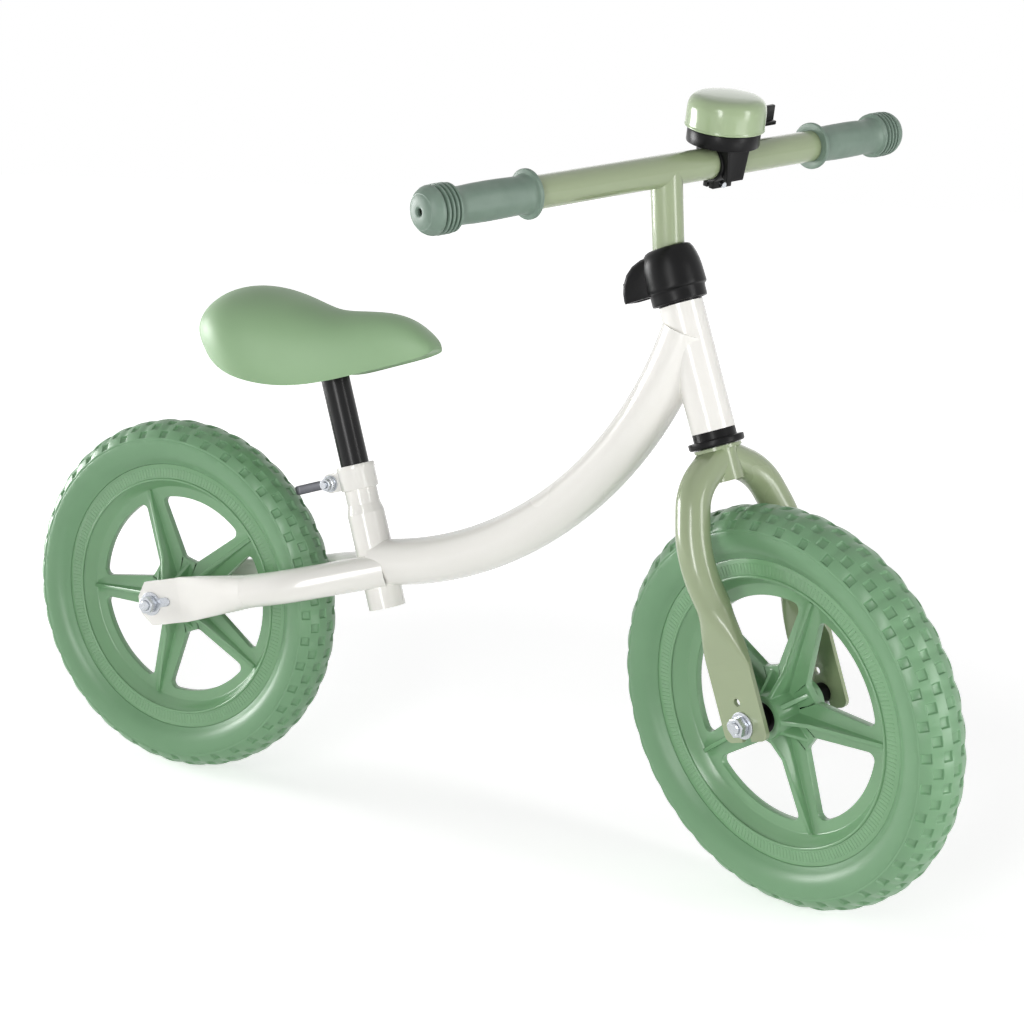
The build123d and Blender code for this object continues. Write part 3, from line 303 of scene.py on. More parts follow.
def blend_in(group, share, first, second):
    """Colour between two colour sockets."""
    mix = group.nodes.new("ShaderNodeMix")
    mix.data_type = "RGBA"
    group.links.new(share, mix.inputs["Factor"])
    group.links.new(first, mix.inputs["A"])
    group.links.new(second, mix.inputs["B"])
    return mix.outputs["Result"]


# %% [markdown]
# The first group is a moulded skin: a slow cloud that shifts colour and roughness a little, and a
# fine grain for the bump. It serves paint, foam, rubber and plastic, each with its own grain size.

# %% Group: moulded skin
SKIN_SOCKETS = [
    ("Colour", "NodeSocketColor", (0.5, 0.5, 0.5, 1)),
    ("Shade", "NodeSocketColor", (0.4, 0.4, 0.4, 1)),
    ("Cloud Scale", "NodeSocketFloat", 20.0),
    ("Grain Scale", "NodeSocketFloat", 900.0),
    ("Low Roughness", "NodeSocketFloat", 0.4),
    ("High Roughness", "NodeSocketFloat", 0.5),
]
SKIN_RESULTS = [
    ("Colour", "NodeSocketColor"),
    ("Roughness", "NodeSocketFloat"),
    ("Height", "NodeSocketFloat"),
]

moulded_skin, skin_in, skin_out = new_group("moulded_skin", SKIN_SOCKETS, SKIN_RESULTS)
cloud = noise_in(moulded_skin, 20, 3, skin_in.outputs["Cloud Scale"])
grain = noise_in(moulded_skin, 900, 5, skin_in.outputs["Grain Scale"])
rough = spread_in(
    moulded_skin, cloud, skin_in.outputs["Low Roughness"], skin_in.outputs["High Roughness"]
)
shade = blend_in(moulded_skin, cloud, skin_in.outputs["Colour"], skin_in.outputs["Shade"])
moulded_skin.links.new(shade, skin_out.inputs["Colour"])
moulded_skin.links.new(rough, skin_out.inputs["Roughness"])
moulded_skin.links.new(grain, skin_out.inputs["Height"])
print("group", moulded_skin.name, "has", len(moulded_skin.nodes), "nodes")

# %% [markdown]
# The second group is for metal: long, thin scratches along one direction, made by a noise that is
# squeezed, over a slow tarnish. It serves the zinc fasteners and the cast lever.

# %% Group: handled metal
handled_metal, metal_in, metal_out = new_group("handled_metal", SKIN_SOCKETS, SKIN_RESULTS)
metal_where = handled_metal.nodes.new("ShaderNodeTexCoord")
squeeze = handled_metal.nodes.new("ShaderNodeMapping")
squeeze.inputs["Scale"].default_value = (1, 0.06, 1)
scratches = handled_metal.nodes.new("ShaderNodeTexNoise")
scratches.inputs["Detail"].default_value = 3
handled_metal.links.new(metal_where.outputs["Object"], squeeze.inputs["Vector"])
handled_metal.links.new(squeeze.outputs["Vector"], scratches.inputs["Vector"])
handled_metal.links.new(metal_in.outputs["Grain Scale"], scratches.inputs["Scale"])
tarnish = noise_in(handled_metal, 60, 3, metal_in.outputs["Cloud Scale"])
metal_rough = spread_in(
    handled_metal, scratches.outputs["Fac"],
    metal_in.outputs["Low Roughness"], metal_in.outputs["High Roughness"],
)
metal_shade = blend_in(
    handled_metal, tarnish, metal_in.outputs["Colour"], metal_in.outputs["Shade"]
)
handled_metal.links.new(metal_shade, metal_out.inputs["Colour"])
handled_metal.links.new(metal_rough, metal_out.inputs["Roughness"])
handled_metal.links.new(scratches.outputs["Fac"], metal_out.inputs["Height"])
print("group", handled_metal.name, "has", len(handled_metal.nodes), "nodes")

# %% [markdown]
# One function makes a material from a group: the group feeds colour, roughness and bump, and what
# is the same all over the surface is set straight on the shader's sockets.

# %% Material maker
def new_finish(name, group, colour, shade, cloud, grain, rough, bump, depth, **shader_values):
    """Material with one effect group, a bump and plain shader values."""
    material = bpy.data.materials.new(name)
    material.use_nodes = True
    tree = material.node_tree
    shader = tree.nodes["Principled BSDF"]
    effect = tree.nodes.new("ShaderNodeGroup")
    effect.node_tree = group
    effect.inputs["Colour"].default_value = from_screen(*colour)
    effect.inputs["Shade"].default_value = from_screen(*shade)
    effect.inputs["Cloud Scale"].default_value = cloud
    effect.inputs["Grain Scale"].default_value = grain
    effect.inputs["Low Roughness"].default_value = rough[0]
    effect.inputs["High Roughness"].default_value = rough[1]
    relief = tree.nodes.new("ShaderNodeBump")
    relief.inputs["Strength"].default_value = bump
    relief.inputs["Distance"].default_value = depth
    tree.links.new(effect.outputs["Colour"], shader.inputs["Base Color"])
    tree.links.new(effect.outputs["Roughness"], shader.inputs["Roughness"])
    tree.links.new(effect.outputs["Height"], relief.inputs["Height"])
    tree.links.new(relief.outputs["Normal"], shader.inputs["Normal"])
    for socket, value in shader_values.items():
        shader.inputs[socket.replace("_", " ")].default_value = value
    return material


# %% [markdown]
# Paints first. The white of the frame leans a little warm, the fork and bar are sage green. Both
# have a clear coat, and the peel is coarse and very shallow.

# %% Paints
finishes = {}
finishes["frame_paint"] = new_finish(
    "warm_white_gloss", moulded_skin, (242, 240, 235), (237, 235, 229),
    cloud=9, grain=420, rough=(0.22, 0.28), bump=0.04, depth=0.0003,
    Coat_Weight=0.6, Coat_Roughness=0.06,
)
finishes["fork_paint"] = new_finish(
    "sage_gloss", moulded_skin, (152, 166, 130), (145, 158, 123),
    cloud=9, grain=420, rough=(0.22, 0.28), bump=0.04, depth=0.0003,
    Coat_Weight=0.45, Coat_Roughness=0.07,
)
finishes["bell_paint"] = new_finish(
    "bell_sage_gloss", moulded_skin, (160, 179, 140), (153, 172, 133),
    cloud=14, grain=500, rough=(0.20, 0.26), bump=0.06, depth=0.0003,
    Coat_Weight=0.35, Coat_Roughness=0.05,
)
finishes["post_paint"] = new_finish(
    "post_black_gloss", moulded_skin, (17, 17, 18), (13, 13, 14),
    cloud=12, grain=500, rough=(0.20, 0.28), bump=0.10, depth=0.0003,
    Specular_IOR_Level=0.26,
)
print("paints:", sorted(finishes))

# %% [markdown]
# Then what is moulded. The wheel plastic shines most, and the foam of the tyres has a closed skin
# with a softer shine. The rubber of the grips and the skin of the saddle are duller still.

# %% Foam, plastic, rubber and skin
finishes["tyre_foam"] = new_finish(
    "green_tyre_foam", moulded_skin, (118, 159, 120), (107, 148, 110),
    cloud=26, grain=1300, rough=(0.30, 0.38), bump=0.10, depth=0.0004,
    Specular_IOR_Level=0.5,
)
finishes["wheel_plastic"] = new_finish(
    "green_wheel_plastic", moulded_skin, (124, 167, 125), (115, 158, 116),
    cloud=18, grain=1500, rough=(0.18, 0.25), bump=0.04, depth=0.0003,
    Specular_IOR_Level=0.65,
)
finishes["grip_rubber"] = new_finish(
    "grey_green_grip_rubber", moulded_skin, (122, 142, 128), (101, 122, 109),
    cloud=70, grain=1600, rough=(0.40, 0.50), bump=0.14, depth=0.0004,
)
finishes["saddle_skin"] = new_finish(
    "green_saddle_skin", moulded_skin, (148, 180, 139), (139, 171, 130),
    cloud=11, grain=1500, rough=(0.44, 0.54), bump=0.16, depth=0.0004,
    Sheen_Weight=0.08, Sheen_Roughness=0.4,
)
finishes["black_plastic"] = new_finish(
    "black_fitting_plastic", moulded_skin, (18, 18, 19), (14, 14, 15),
    cloud=30, grain=1400, rough=(0.26, 0.36), bump=0.10, depth=0.0004,
    Specular_IOR_Level=0.16,
)
print("moulded finishes added:", len(finishes))

# %% Metals
finishes["lever_alloy"] = new_finish(
    "dark_cast_lever", handled_metal, (104, 105, 110), (88, 89, 94),
    cloud=60, grain=900, rough=(0.36, 0.50), bump=0.12, depth=0.0003, Metallic=0.7,
)
finishes["zinc"] = new_finish(
    "bright_zinc", handled_metal, (205, 208, 212), (182, 186, 192),
    cloud=70, grain=1200, rough=(0.22, 0.38), bump=0.10, depth=0.0002, Metallic=1.0,
)
for part in frame["record"]["subparts"]:
    cad_node = nodes[part["node"]]
    cad_node.data.materials.clear()
    cad_node.data.materials.append(finishes[part["material_slot"]])
print("finishes on", len(nodes), "nodes:", len(finishes))

# %% [markdown]
# ## Tyres
# The tyre is one ring of foam with a shallow tread: seven staggered rows of small rectangular
# pits, and forty swells round the crown that give its outline a gentle knobble. One could model a
# block and copy it, but nothing here has a seam. So the ring is spun from a profile whose points
# lie on the edges of the rows, the faces of the pits are picked like squares of a chequerboard,
# and one inset with a negative depth sinks them all. Last, the crown is drawn in a little between
# the swells.

# %% Tyre sizes
WHEEL_R = 0.145
RIM_R = 0.110
RIM_W = 0.027
TYRE_W = 0.045
TYRE_SHOULDER = 0.013
PIT_DEPTH = 0.0018
PIT_SLOPE = 0.0006
PIT_EDGE = 0.0004
SWELLS = 40
SWELL_DEPTH = 0.0012
STEPS_PER_SWELL = 12
PIT_FROM = 8
crown_half = TYRE_W / 2
crown_r = (crown_half**2 + TYRE_SHOULDER**2) / (2 * TYRE_SHOULDER)
crown_centre = WHEEL_R - crown_r
print("crown radius", round(crown_r, 4), "centre at", round(crown_centre, 4))

# Rows of pits, in degrees round the crown from its middle, and the step that each row starts at.
ROWS = ((0, 8.5, 0), (10, 24.5, 6), (26, 41, 0), (42.5, 58, 6))
ROW_EDGES = [angle for row in ROWS for angle in row[:2]]


def crown_point(angle):
    """Point of the tyre's crown, as radius and distance from the middle."""
    return (crown_centre + crown_r * cos(radians(angle)), crown_r * sin(radians(angle)))


# %% Profile and pits of the tyre
SIDEWALL = (
    (0.1316, 0.0223), (0.1308, 0.0219), (0.1300, 0.0223), (0.1265, 0.0222), (0.1215, 0.0214),
    (0.1170, 0.0196), (0.1135, 0.0168), (0.1116, 0.0147),
)
RIM_SEAT = ((RIM_R, 0.0137), (RIM_R, 0.0060))


def tyre_profile():
    """Profile of the tyre as a closed ring, left half then mirrored right half."""
    half = [crown_point(angle) for angle in ROW_EDGES] + list(SIDEWALL) + list(RIM_SEAT)
    mirrored = [(radius, -along) for radius, along in reversed(half[1:])]
    return half + mirrored


def crown_angle_of(point):
    """Degrees round the crown of a point of the tyre."""
    radius = sqrt(point.x**2 + point.z**2)
    return degrees(atan2(point.y, radius - crown_centre))


def is_pit(point):
    """True on faces of the ring that lie in a pit of the tread."""
    angle = abs(crown_angle_of(point))
    step = int((atan2(point.z, point.x) % tau) / tau * SWELLS * STEPS_PER_SWELL)
    for start, end, first in ROWS:
        if start <= angle < end:
            return (step - first) % STEPS_PER_SWELL >= PIT_FROM
    return False


print("points of the tyre profile:", len(tyre_profile()))

# %% Spin the tyres
FADE_FROM = 64
FADE_OVER = 14
NOTCH_AT = 4 / STEPS_PER_SWELL
SWELL_ROUND = 0.8


def draw_in_between_swells(tyre):
    """Sink the crown along its normal between the swells, fading out at the shoulder."""
    for vertex in tyre.data.vertices:
        angle = radians(crown_angle_of(vertex.co))
        fade = min(max((FADE_FROM - abs(degrees(angle))) / FADE_OVER, 0), 1)
        turn = atan2(vertex.co.z, vertex.co.x) / tau * SWELLS - NOTCH_AT
        sink = SWELL_DEPTH * fade * (1 - abs(sin(pi * turn)) ** SWELL_ROUND)
        radius = sqrt(vertex.co.x**2 + vertex.co.z**2)
        shrink = (radius - sink * cos(angle)) / radius
        vertex.co.x *= shrink
        vertex.co.z *= shrink
        vertex.co.y -= sink * sin(angle)


def tread_tyre(name):
    """Tyre with its pits and swells, in the frame of its wheel."""
    tyre = turn_on_lathe(name, tyre_profile(), SWELLS * STEPS_PER_SWELL)
    start_editing(tyre)
    pick_faces(tyre, lambda centre, normal: is_pit(centre))
    bpy.ops.mesh.inset(thickness=PIT_SLOPE, depth=-PIT_DEPTH, use_even_offset=True)
    stop_editing()
    draw_in_between_swells(tyre)
    round_edges(tyre, PIT_EDGE, segments=2, angle=34)
    return tyre


for body, place in WHEELS:
    prefix = body.split("_")[0]
    tyre = tread_tyre(prefix + "_tread_tyre")
    settle(tyre, place)
    mount(tyre, body, "tyre_foam", angle=40, replaces=[prefix + "_tyre"])

# %% [markdown]
# ## Softened castings and tubes
# A solid model has knife-sharp edges, but nothing that is moulded, bent or pressed has them: a
# thin line of light runs along each real edge. The shape itself is right, so it isn't modelled
# again. Each piece starts as a copy of the node's mesh, whose loose triangles are merged first
# and joined to quads. Then a narrow bevel on the sharp edges gives the light something to catch.

# %% Helper: soften a node
def softened(node, name, width, near=None, angle=32):
    """Own copy of a node's mesh, merged, with its sharp edges rounded where the near test holds."""
    piece = bpy.data.objects.new(name, nodes[node].data.copy())
    bpy.context.scene.collection.objects.link(piece)
    start_editing(piece)
    bpy.ops.mesh.select_all(action="SELECT")
    bpy.ops.mesh.remove_doubles(threshold=MERGE)
    bpy.ops.mesh.customdata_custom_splitnormals_clear()
    bpy.ops.mesh.tris_convert_to_quads(face_threshold=radians(1), shape_threshold=radians(120))
    bpy.ops.mesh.select_all(action="DESELECT")
    bpy.ops.mesh.select_mode(type="EDGE")
    mesh = bmesh.from_edit_mesh(piece.data)
    for edge in mesh.edges:
        sharp = edge.is_manifold and edge.calc_face_angle(0) > radians(angle)
        edge.select_set(sharp and (near is None or all(near(vertex.co) for vertex in edge.verts)))
    bmesh.update_edit_mesh(piece.data)
    bpy.ops.mesh.bevel(offset=width, segments=2, affect="EDGES", clamp_overlap=near is not None)
    bpy.ops.mesh.select_mode(type="FACE")
    stop_editing()
    return piece


bodies = frame["record"]["behaviour"]["bodies"]
body_of = {node: body for body, members in bodies.items() for node in members}
slot_of = {part["node"]: part["material_slot"] for part in frame["record"]["subparts"]}
print("bodies:", sorted(bodies))

# %% Soften wheels, cups, nuts, levers and the bell
SOFTENED = (
    ("rear_wheel", "rear_spoked_wheel", 0.0007),
    ("front_wheel", "front_spoked_wheel", 0.0007),
    ("seat_collar", "seat_collar_soft", 0.0006),
    ("upper_cup", "upper_cup_soft", 0.0006),
    ("lower_cup", "lower_cup_soft", 0.0006),
    ("qr_lever", "qr_lever_soft", 0.0011),
    ("qr_nut", "qr_nut_soft", 0.0006),
    ("rear_nuts", "rear_nuts_soft", 0.0006),
    ("front_nuts", "front_nuts_soft", 0.0006),
    ("rear_tab_washers", "rear_tab_washers_soft", 0.0003),
    ("front_tab_washers", "front_tab_washers_soft", 0.0003),
    ("bell_base", "bell_cup", 0.0007),
    ("bell_strap", "bell_band", 0.0004),
    ("bell_lever", "bell_thumb_tab", 0.0007),
)
LEVER_SWELL = 0.0007
for node, name, width in SOFTENED:
    piece = softened(node, name, width)
    if node == "qr_lever":
        apply_modifier(piece, "DISPLACE", strength=LEVER_SWELL, mid_level=0)
    mount(piece, body_of[node], slot_of[node], angle=38, replaces=[node])

# %% [markdown]
# The fork legs and the stays are tubes that are pressed flat at one end. Only the outline of the
# flat end has sharp edges, so the bevel is kept to a length beside the axle.

# %% Soften the pressed tube ends
FLAT_END = 0.041
PRESSED_EDGE = 0.0006


def beside(axle):
    """Test that holds for points on the flat end at an axle."""
    return lambda point: (point - axle).length < FLAT_END


for body, axle in (("fork", front_axle), ("frame", rear_axle)):
    for node in bodies[body]:
        if node.startswith(("fork_leg", "stay")):
            piece = softened(node, node + "_pressed", PRESSED_EDGE, near=beside(axle))
            mount(piece, body, slot_of[node], angle=50, replaces=[node])

# %% [markdown]
# Where the round tube runs out into the flat end, the solid has a step. On the real tube the
# press leaves a smooth flare, so a thin sleeve is skinned over that length. Its sections go from
# a box with rounded corners to a circle: the corner number falls from 10 to 2 on the way.

# %% Flares over the pressed ends
PLATE_MID = 0.0411
PLATE_HALF = 0.0016
FLARE_POINTS = 64
FLARE_STEPS = 16
BOX_CORNER = 10
ROUND_CORNER = 2
CORNER_FALL = 2.5
OVER_EDGE = 0.00035
OVER_FACE = 0.0004
OVER_TUBE = 0.0001
FOOT_LENGTH = 0.004
FOOT_THIN = 0.82
FOOT_NARROW = 0.992
# Where the flat end stops and the tube begins, half width of the flat and radius of the tube.
STAY_FLARE = (0.033, 0.098, 0.018, 0.013)
LEG_FLARE = (0.042, 0.084, 0.020, 0.012)
STAY_RISE = radians(14.5)
LEG_LEAN = radians(13.79)
STAY_FRAME = REAR @ Matrix.Rotation(-STAY_RISE, 4, "Y")
UPENDED = Matrix.Rotation(-pi / 2, 4, "Y")


def signed_power(value, power):
    """Power of a number's size that keeps its sign."""
    return abs(value) ** power * (1 if value > 0 else -1)


def flare_ring(share, flat, tube, half_width, tube_r, lean):
    """Section of a flare at a share of its length, along X, its flat sides towards Y."""
    corner = ROUND_CORNER + (BOX_CORNER - ROUND_CORNER) * (1 - share) ** CORNER_FALL
    end_r = tube_r + OVER_TUBE
    wide = half_width + OVER_EDGE + share * (end_r - half_width - OVER_EDGE)
    thick = PLATE_HALF + OVER_FACE + share * (end_r - PLATE_HALF - OVER_FACE)
    along = flat + share * (tube - flat)
    tilt = share * lean
    ring = []
    for index in range(FLARE_POINTS):
        turn = tau * (index + 0.5) / FLARE_POINTS
        across = thick * signed_power(cos(turn), 2 / corner)
        up = wide * signed_power(sin(turn), 2 / corner)
        ring.append(Vector((along - across * sin(tilt), across * cos(tilt), up)))
    return ring


def flare(name, flat, tube, half_width, tube_r, lean):
    """Closed sleeve along X, with a short thinner foot where it starts on the flat end."""
    shares = [step / FLARE_STEPS for step in range(FLARE_STEPS + 1)]
    rings = [flare_ring(share, flat, tube, half_width, tube_r, lean) for share in shares]
    foot = [
        Vector((flat - FOOT_LENGTH, FOOT_THIN * point.y, FOOT_NARROW * point.z))
        for point in rings[0]
    ]
    rings = [pinched(foot, 0), foot] + rings + [pinched(rings[-1], 0)]
    return skin_over(name, rings)


# %% Set the flares on the stays and the legs
for side, word in ((-1, "right"), (1, "left")):
    shift = Matrix.Translation((0, side * PLATE_MID, 0))
    stay_flare = flare("stay_flare_" + word, *STAY_FLARE, lean=0)
    settle(stay_flare, STAY_FRAME @ shift)
    mount(stay_flare, "frame", "frame_paint", angle=50)
    leg_flare = flare("leg_flare_" + word, *LEG_FLARE, lean=side * LEG_LEAN)
    settle(leg_flare, STEER @ shift @ UPENDED)
    mount(leg_flare, "fork", "fork_paint", angle=50)

# %% [markdown]
# ## Rim serrations
# The flat flange of the moulded rim carries a fringe of fine radial ridges. One ridge is a small
# tapered block, open towards the flange. A spin with duplicates sets it all round, and the other
# side of the wheel gets a fringe of its own.

# %% Rim fringe
RIDGES = 216
RIDGE_IN = 0.0992
RIDGE_OUT = 0.1068
RIDGE_W = 0.0015
RIDGE_H = 0.00028
RIDGE_TAPER = (0.9, 1, 0.45)


def rim_fringe(name, side):
    """Fringe of open tapered blocks on one flange of a wheel."""
    deselect_everything()
    middle = (RIDGE_IN + RIDGE_OUT) / 2
    bpy.ops.mesh.primitive_cube_add(size=1, location=(middle, side * RIM_W / 2, 0))
    fringe = bpy.context.object
    fringe.name = name
    fringe.scale = (RIDGE_OUT - RIDGE_IN, 2 * RIDGE_H, RIDGE_W)
    bpy.ops.object.transform_apply(location=True, rotation=True, scale=True)
    start_editing(fringe)
    pick_faces(fringe, lambda centre, normal: side * normal.y > 0.5)
    bpy.ops.transform.resize(value=RIDGE_TAPER, center_override=(middle, 0, 0))
    pick_faces(fringe, lambda centre, normal: side * normal.y < -0.5)
    bpy.ops.mesh.delete(type="FACE")
    bpy.ops.mesh.select_all(action="SELECT")
    bpy.ops.mesh.spin(
        steps=RIDGES, angle=tau, center=(0, 0, 0), axis=(0, 1, 0), dupli=True, use_normal_flip=False
    )
    bpy.ops.mesh.select_all(action="SELECT")
    bpy.ops.mesh.remove_doubles(threshold=MERGE)
    bpy.ops.mesh.normals_make_consistent(inside=False)
    stop_editing()
    return fringe


for body, place in WHEELS:
    for side, word in ((-1, "right"), (1, "left")):
        fringe = rim_fringe(body + "_fringe_" + word, side)
        settle(fringe, place)
        mount(fringe, body, "wheel_plastic", angle=20)

# %% [markdown]
# The inner edge of the flange ends in a thin rounded lip. It is a small bead, turned on the
# lathe, and its round back catches a long streak of light.

# %% Rim lips
LIP_R = 0.0972
LIP_ROUND = 0.0011
LIP_POINTS = 10
LIP_STEPS = 160
for body, place in WHEELS:
    for side, word in ((-1, "right"), (1, "left")):
        turns = [tau * index / LIP_POINTS for index in range(LIP_POINTS)]
        bead = [(LIP_R + LIP_ROUND * cos(t), side * RIM_W / 2 + LIP_ROUND * sin(t)) for t in turns]
        lip = turn_on_lathe(body + "_lip_" + word, bead, LIP_STEPS)
        settle(lip, place)
        mount(lip, body, "wheel_plastic", angle=50)

# %% [markdown]
# ## Saddle
# The saddle is a skin of foam over a hidden plate: broad and high at the tail, drawn in to a slim
# nose, smooth all over but for a crisp edge where it turns under. A cloth simulation would only
# swell that clean moulded form, so it is skinned through stations, like ribs of a boat, and
# subdivided, with a crease along the lower edge. The plate keeps its pocket in the underside.

# %% Stations of the saddle
SADDLE_RISE = 0.068
# Along the seat, half width, underside and crown, in millimetres above the rise.
SADDLE_STATIONS = (
    (-98, 21, 53, 65), (-95.5, 29, 49.5, 71), (-86, 43, 40, 80), (-72, 54.5, 28, 86.5),
    (-56, 60, 17.5, 87), (-39, 58, 9, 82), (-22, 51, 2.5, 74), (-4, 41.5, -1, 62.5),
    (14, 33, -2, 51), (33, 28, -2, 45.5), (52, 24, -2, 41), (68, 21.5, -2, 35.5),
    (80, 18.5, -1.5, 28), (89, 14.5, -0.5, 17.5), (94, 10.5, 0.5, 9.5),
)
# Half of a section, from the middle of the underside to the crown: share of half width and height.
SECTION = (
    (0, 0.10), (0.45, 0.10), (0.81, 0.07), (0.90, 0), (0.955, 0.13), (1.0, 0.36), (0.965, 0.56),
    (0.85, 0.735), (0.66, 0.865), (0.36, 0.965), (0, 1),
)


def saddle_ring(along, half, low, high):
    """Ring of points round one station, up the left side and down the right."""
    left = [(along, share * half, low + rise * (high - low)) for share, rise in SECTION]
    right = [(x, -y, z) for x, y, z in reversed(left[1:-1])]
    return [Vector((x / 1000, y / 1000, z / 1000 + SADDLE_RISE)) for x, y, z in left + right]


print("stations of the saddle:", len(SADDLE_STATIONS))

# %% Skin the saddle
TAIL_ROUND = 0.0008
NOSE_ROUND = 0.001
LOWER_EDGE = 3
EDGE_CREASE = 0.75
SKIN_LEVELS = 3
saddle_rings = [saddle_ring(*station) for station in SADDLE_STATIONS]
tail = pinched(saddle_rings[0], -TAIL_ROUND)
nose = pinched(saddle_rings[-1], NOSE_ROUND)
saddle_rings = [tail] + saddle_rings + [nose]
saddle_pad = skin_over("saddle_pad", saddle_rings)

start_editing(saddle_pad)
bpy.ops.mesh.select_mode(type="EDGE")
saddle_mesh = bmesh.from_edit_mesh(saddle_pad.data)
foot_points = [ring[LOWER_EDGE] for ring in saddle_rings[1:-1]]
foot_points += [Vector((point.x, -point.y, point.z)) for point in foot_points]


def on_foot(vertex):
    """True on points of the lower edge of the skin."""
    return min((vertex.co - foot).length for foot in foot_points) < MERGE


for edge in saddle_mesh.edges:
    edge.select_set(all(on_foot(vertex) for vertex in edge.verts))
bmesh.update_edit_mesh(saddle_pad.data)
bpy.ops.transform.edge_crease(value=EDGE_CREASE)
bpy.ops.mesh.select_mode(type="FACE")
stop_editing()
smooth_over(saddle_pad, SKIN_LEVELS)
print("saddle skin has", len(saddle_pad.data.polygons), "faces")

# %% [markdown]
# The pocket is cut with a plain block in the outline of the plate, subtracted after the skin is
# smooth, so that its corners stay square.

# %% Pocket for the plate
PLATE_OUTLINE = (
    (-17, 30), (14, 24), (52, 17), (78, 13), (78, -13), (52, -17), (14, -24), (-17, -30),
)
PLATE_EASE = 1.002
POCKET_DEPTH = 0.00705
POCKET_START = 0.02
deselect_everything()
bpy.ops.mesh.primitive_circle_add(vertices=len(PLATE_OUTLINE), fill_type="NGON")
pocket = bpy.context.object
for vertex, (along, side) in zip(pocket.data.vertices, PLATE_OUTLINE):
    vertex.co = (along * PLATE_EASE / 1000, side * PLATE_EASE / 1000, SADDLE_RISE - POCKET_START)
start_editing(pocket)
bpy.ops.mesh.select_all(action="SELECT")
lift = (0, 0, POCKET_DEPTH + POCKET_START)
bpy.ops.mesh.extrude_region_move(TRANSFORM_OT_translate={"value": lift})
bpy.ops.mesh.select_all(action="SELECT")
bpy.ops.mesh.normals_make_consistent(inside=False)
stop_editing()
apply_modifier(saddle_pad, "BOOLEAN", object=pocket, operation="DIFFERENCE", solver="EXACT")
bpy.data.objects.remove(pocket)
settle(saddle_pad, SEAT)
mount(saddle_pad, "seat", "saddle_skin", angle=40, replaces=["saddle_cover"])

# %% [markdown]
# ## Grips
# A grip is a rubber sleeve: a thin flange that guards the thumb, a slightly barrelled body with
# long flats, and a bulb with grooves round it and a hole in its end. It is turned on the lathe in
# one profile. The flats come after, by drawing the body in a little eight times round. The right
# grip is made the same way and turned end for end.

# %% Grip profile
GRIP_LENGTH = 0.088
BAR_HALF = 0.219
BAR_SHIFT = 0.010
BAR_R = 11.1
RIDGES_ROUND_GRIP = 4
RIDGE_PITCH = 3.3
RIDGE_LENGTH = 1.5
GROOVE_DEPTH = 3.0
GROOVE_SLOPE = 0.2
CREST = 16.2
FIRST_CREST = 15.8
BULB_START = 64.6

flange = [(BAR_R, 0), (16.0, 0), (16.5, 0.5), (16.5, 2.4), (16.1, 3.0), (13.6, 3.6), (12.8, 4.8)]
barrel = [
    (12.5, 8), (12.8, 16), (13.2, 26), (13.3, 36), (13.1, 46), (12.6, 53), (12.4, 58), (12.7, 61.2),
    (13.6, 63.6),
]
bulb = []
for index in range(RIDGES_ROUND_GRIP):
    start = BULB_START + index * RIDGE_PITCH
    end = start + RIDGE_LENGTH
    crest = CREST if index else FIRST_CREST
    valley = crest - GROOVE_DEPTH
    bulb += [(crest, start), (crest, end), (valley, end + GROOVE_SLOPE)]
    bulb.append((valley, start + RIDGE_PITCH - GROOVE_SLOPE))
tip = [
    (15.9, 78.0), (15.9, 79.6), (15.4, 81.4), (13.9, 84.2), (11.6, 86.6), (11.2, 86.5),
    (10.8, 86.8), (6.6, 87.9), (3.6, 88), (2.5, 87.4), (2.5, 85.2), (BAR_R, 85.1),
]
grip_profile = [(radius / 1000, along / 1000) for radius, along in flange + barrel + bulb + tip]
print("grip profile points:", len(grip_profile))

# %% Turn the grips
FLATS = 8
FLAT_DEPTH = 0.035
FLATS_FROM = 0.006
FLATS_TO = 0.064
FLATS_BEYOND_R = 0.012
GRIP_STEPS = 64
GRIP_EDGE = 0.0003


def turned_grip(name):
    """Grip along Y with shallow flats round the outside of its body."""
    grip = turn_on_lathe(name, grip_profile, GRIP_STEPS)
    for vertex in grip.data.vertices:
        outside = vertex.co.x**2 + vertex.co.z**2 > FLATS_BEYOND_R**2
        if FLATS_FROM < vertex.co.y < FLATS_TO and outside:
            wave = 0.5 - 0.5 * cos(FLATS * atan2(vertex.co.z, vertex.co.x))
            fade = sin(pi * (vertex.co.y - FLATS_FROM) / (FLATS_TO - FLATS_FROM))
            shrink = 1 - FLAT_DEPTH * wave * fade
            vertex.co.x *= shrink
            vertex.co.z *= shrink
    round_edges(grip, GRIP_EDGE, segments=2, angle=30)
    return grip


HALF_TURN = Matrix.Rotation(pi, 4, "Z")
for word, turned in (("left", Matrix.Identity(4)), ("right", HALF_TURN)):
    grip = turned_grip("hand_grip_" + word)
    along = Matrix.Translation((0, BAR_HALF - GRIP_LENGTH, 0))
    settle(grip, BAR @ Matrix.Translation((0, BAR_SHIFT, 0)) @ turned @ along)
    mount(grip, "handlebar", "grip_rubber", angle=40, replaces=["grip_" + word])

# %% [markdown]
# ## Bell
# The dome of the bell is drawn from sheet metal: a straight wall, a soft shoulder and a nearly
# flat top, with a rolled bead at the rim, so it is turned on the lathe. Below it, the black cup
# stands on a neck that straddles the bar and its strap. The neck is a block that tapers
# downwards, cut off slanting behind, with a sunk panel in front and a bore for the strap.

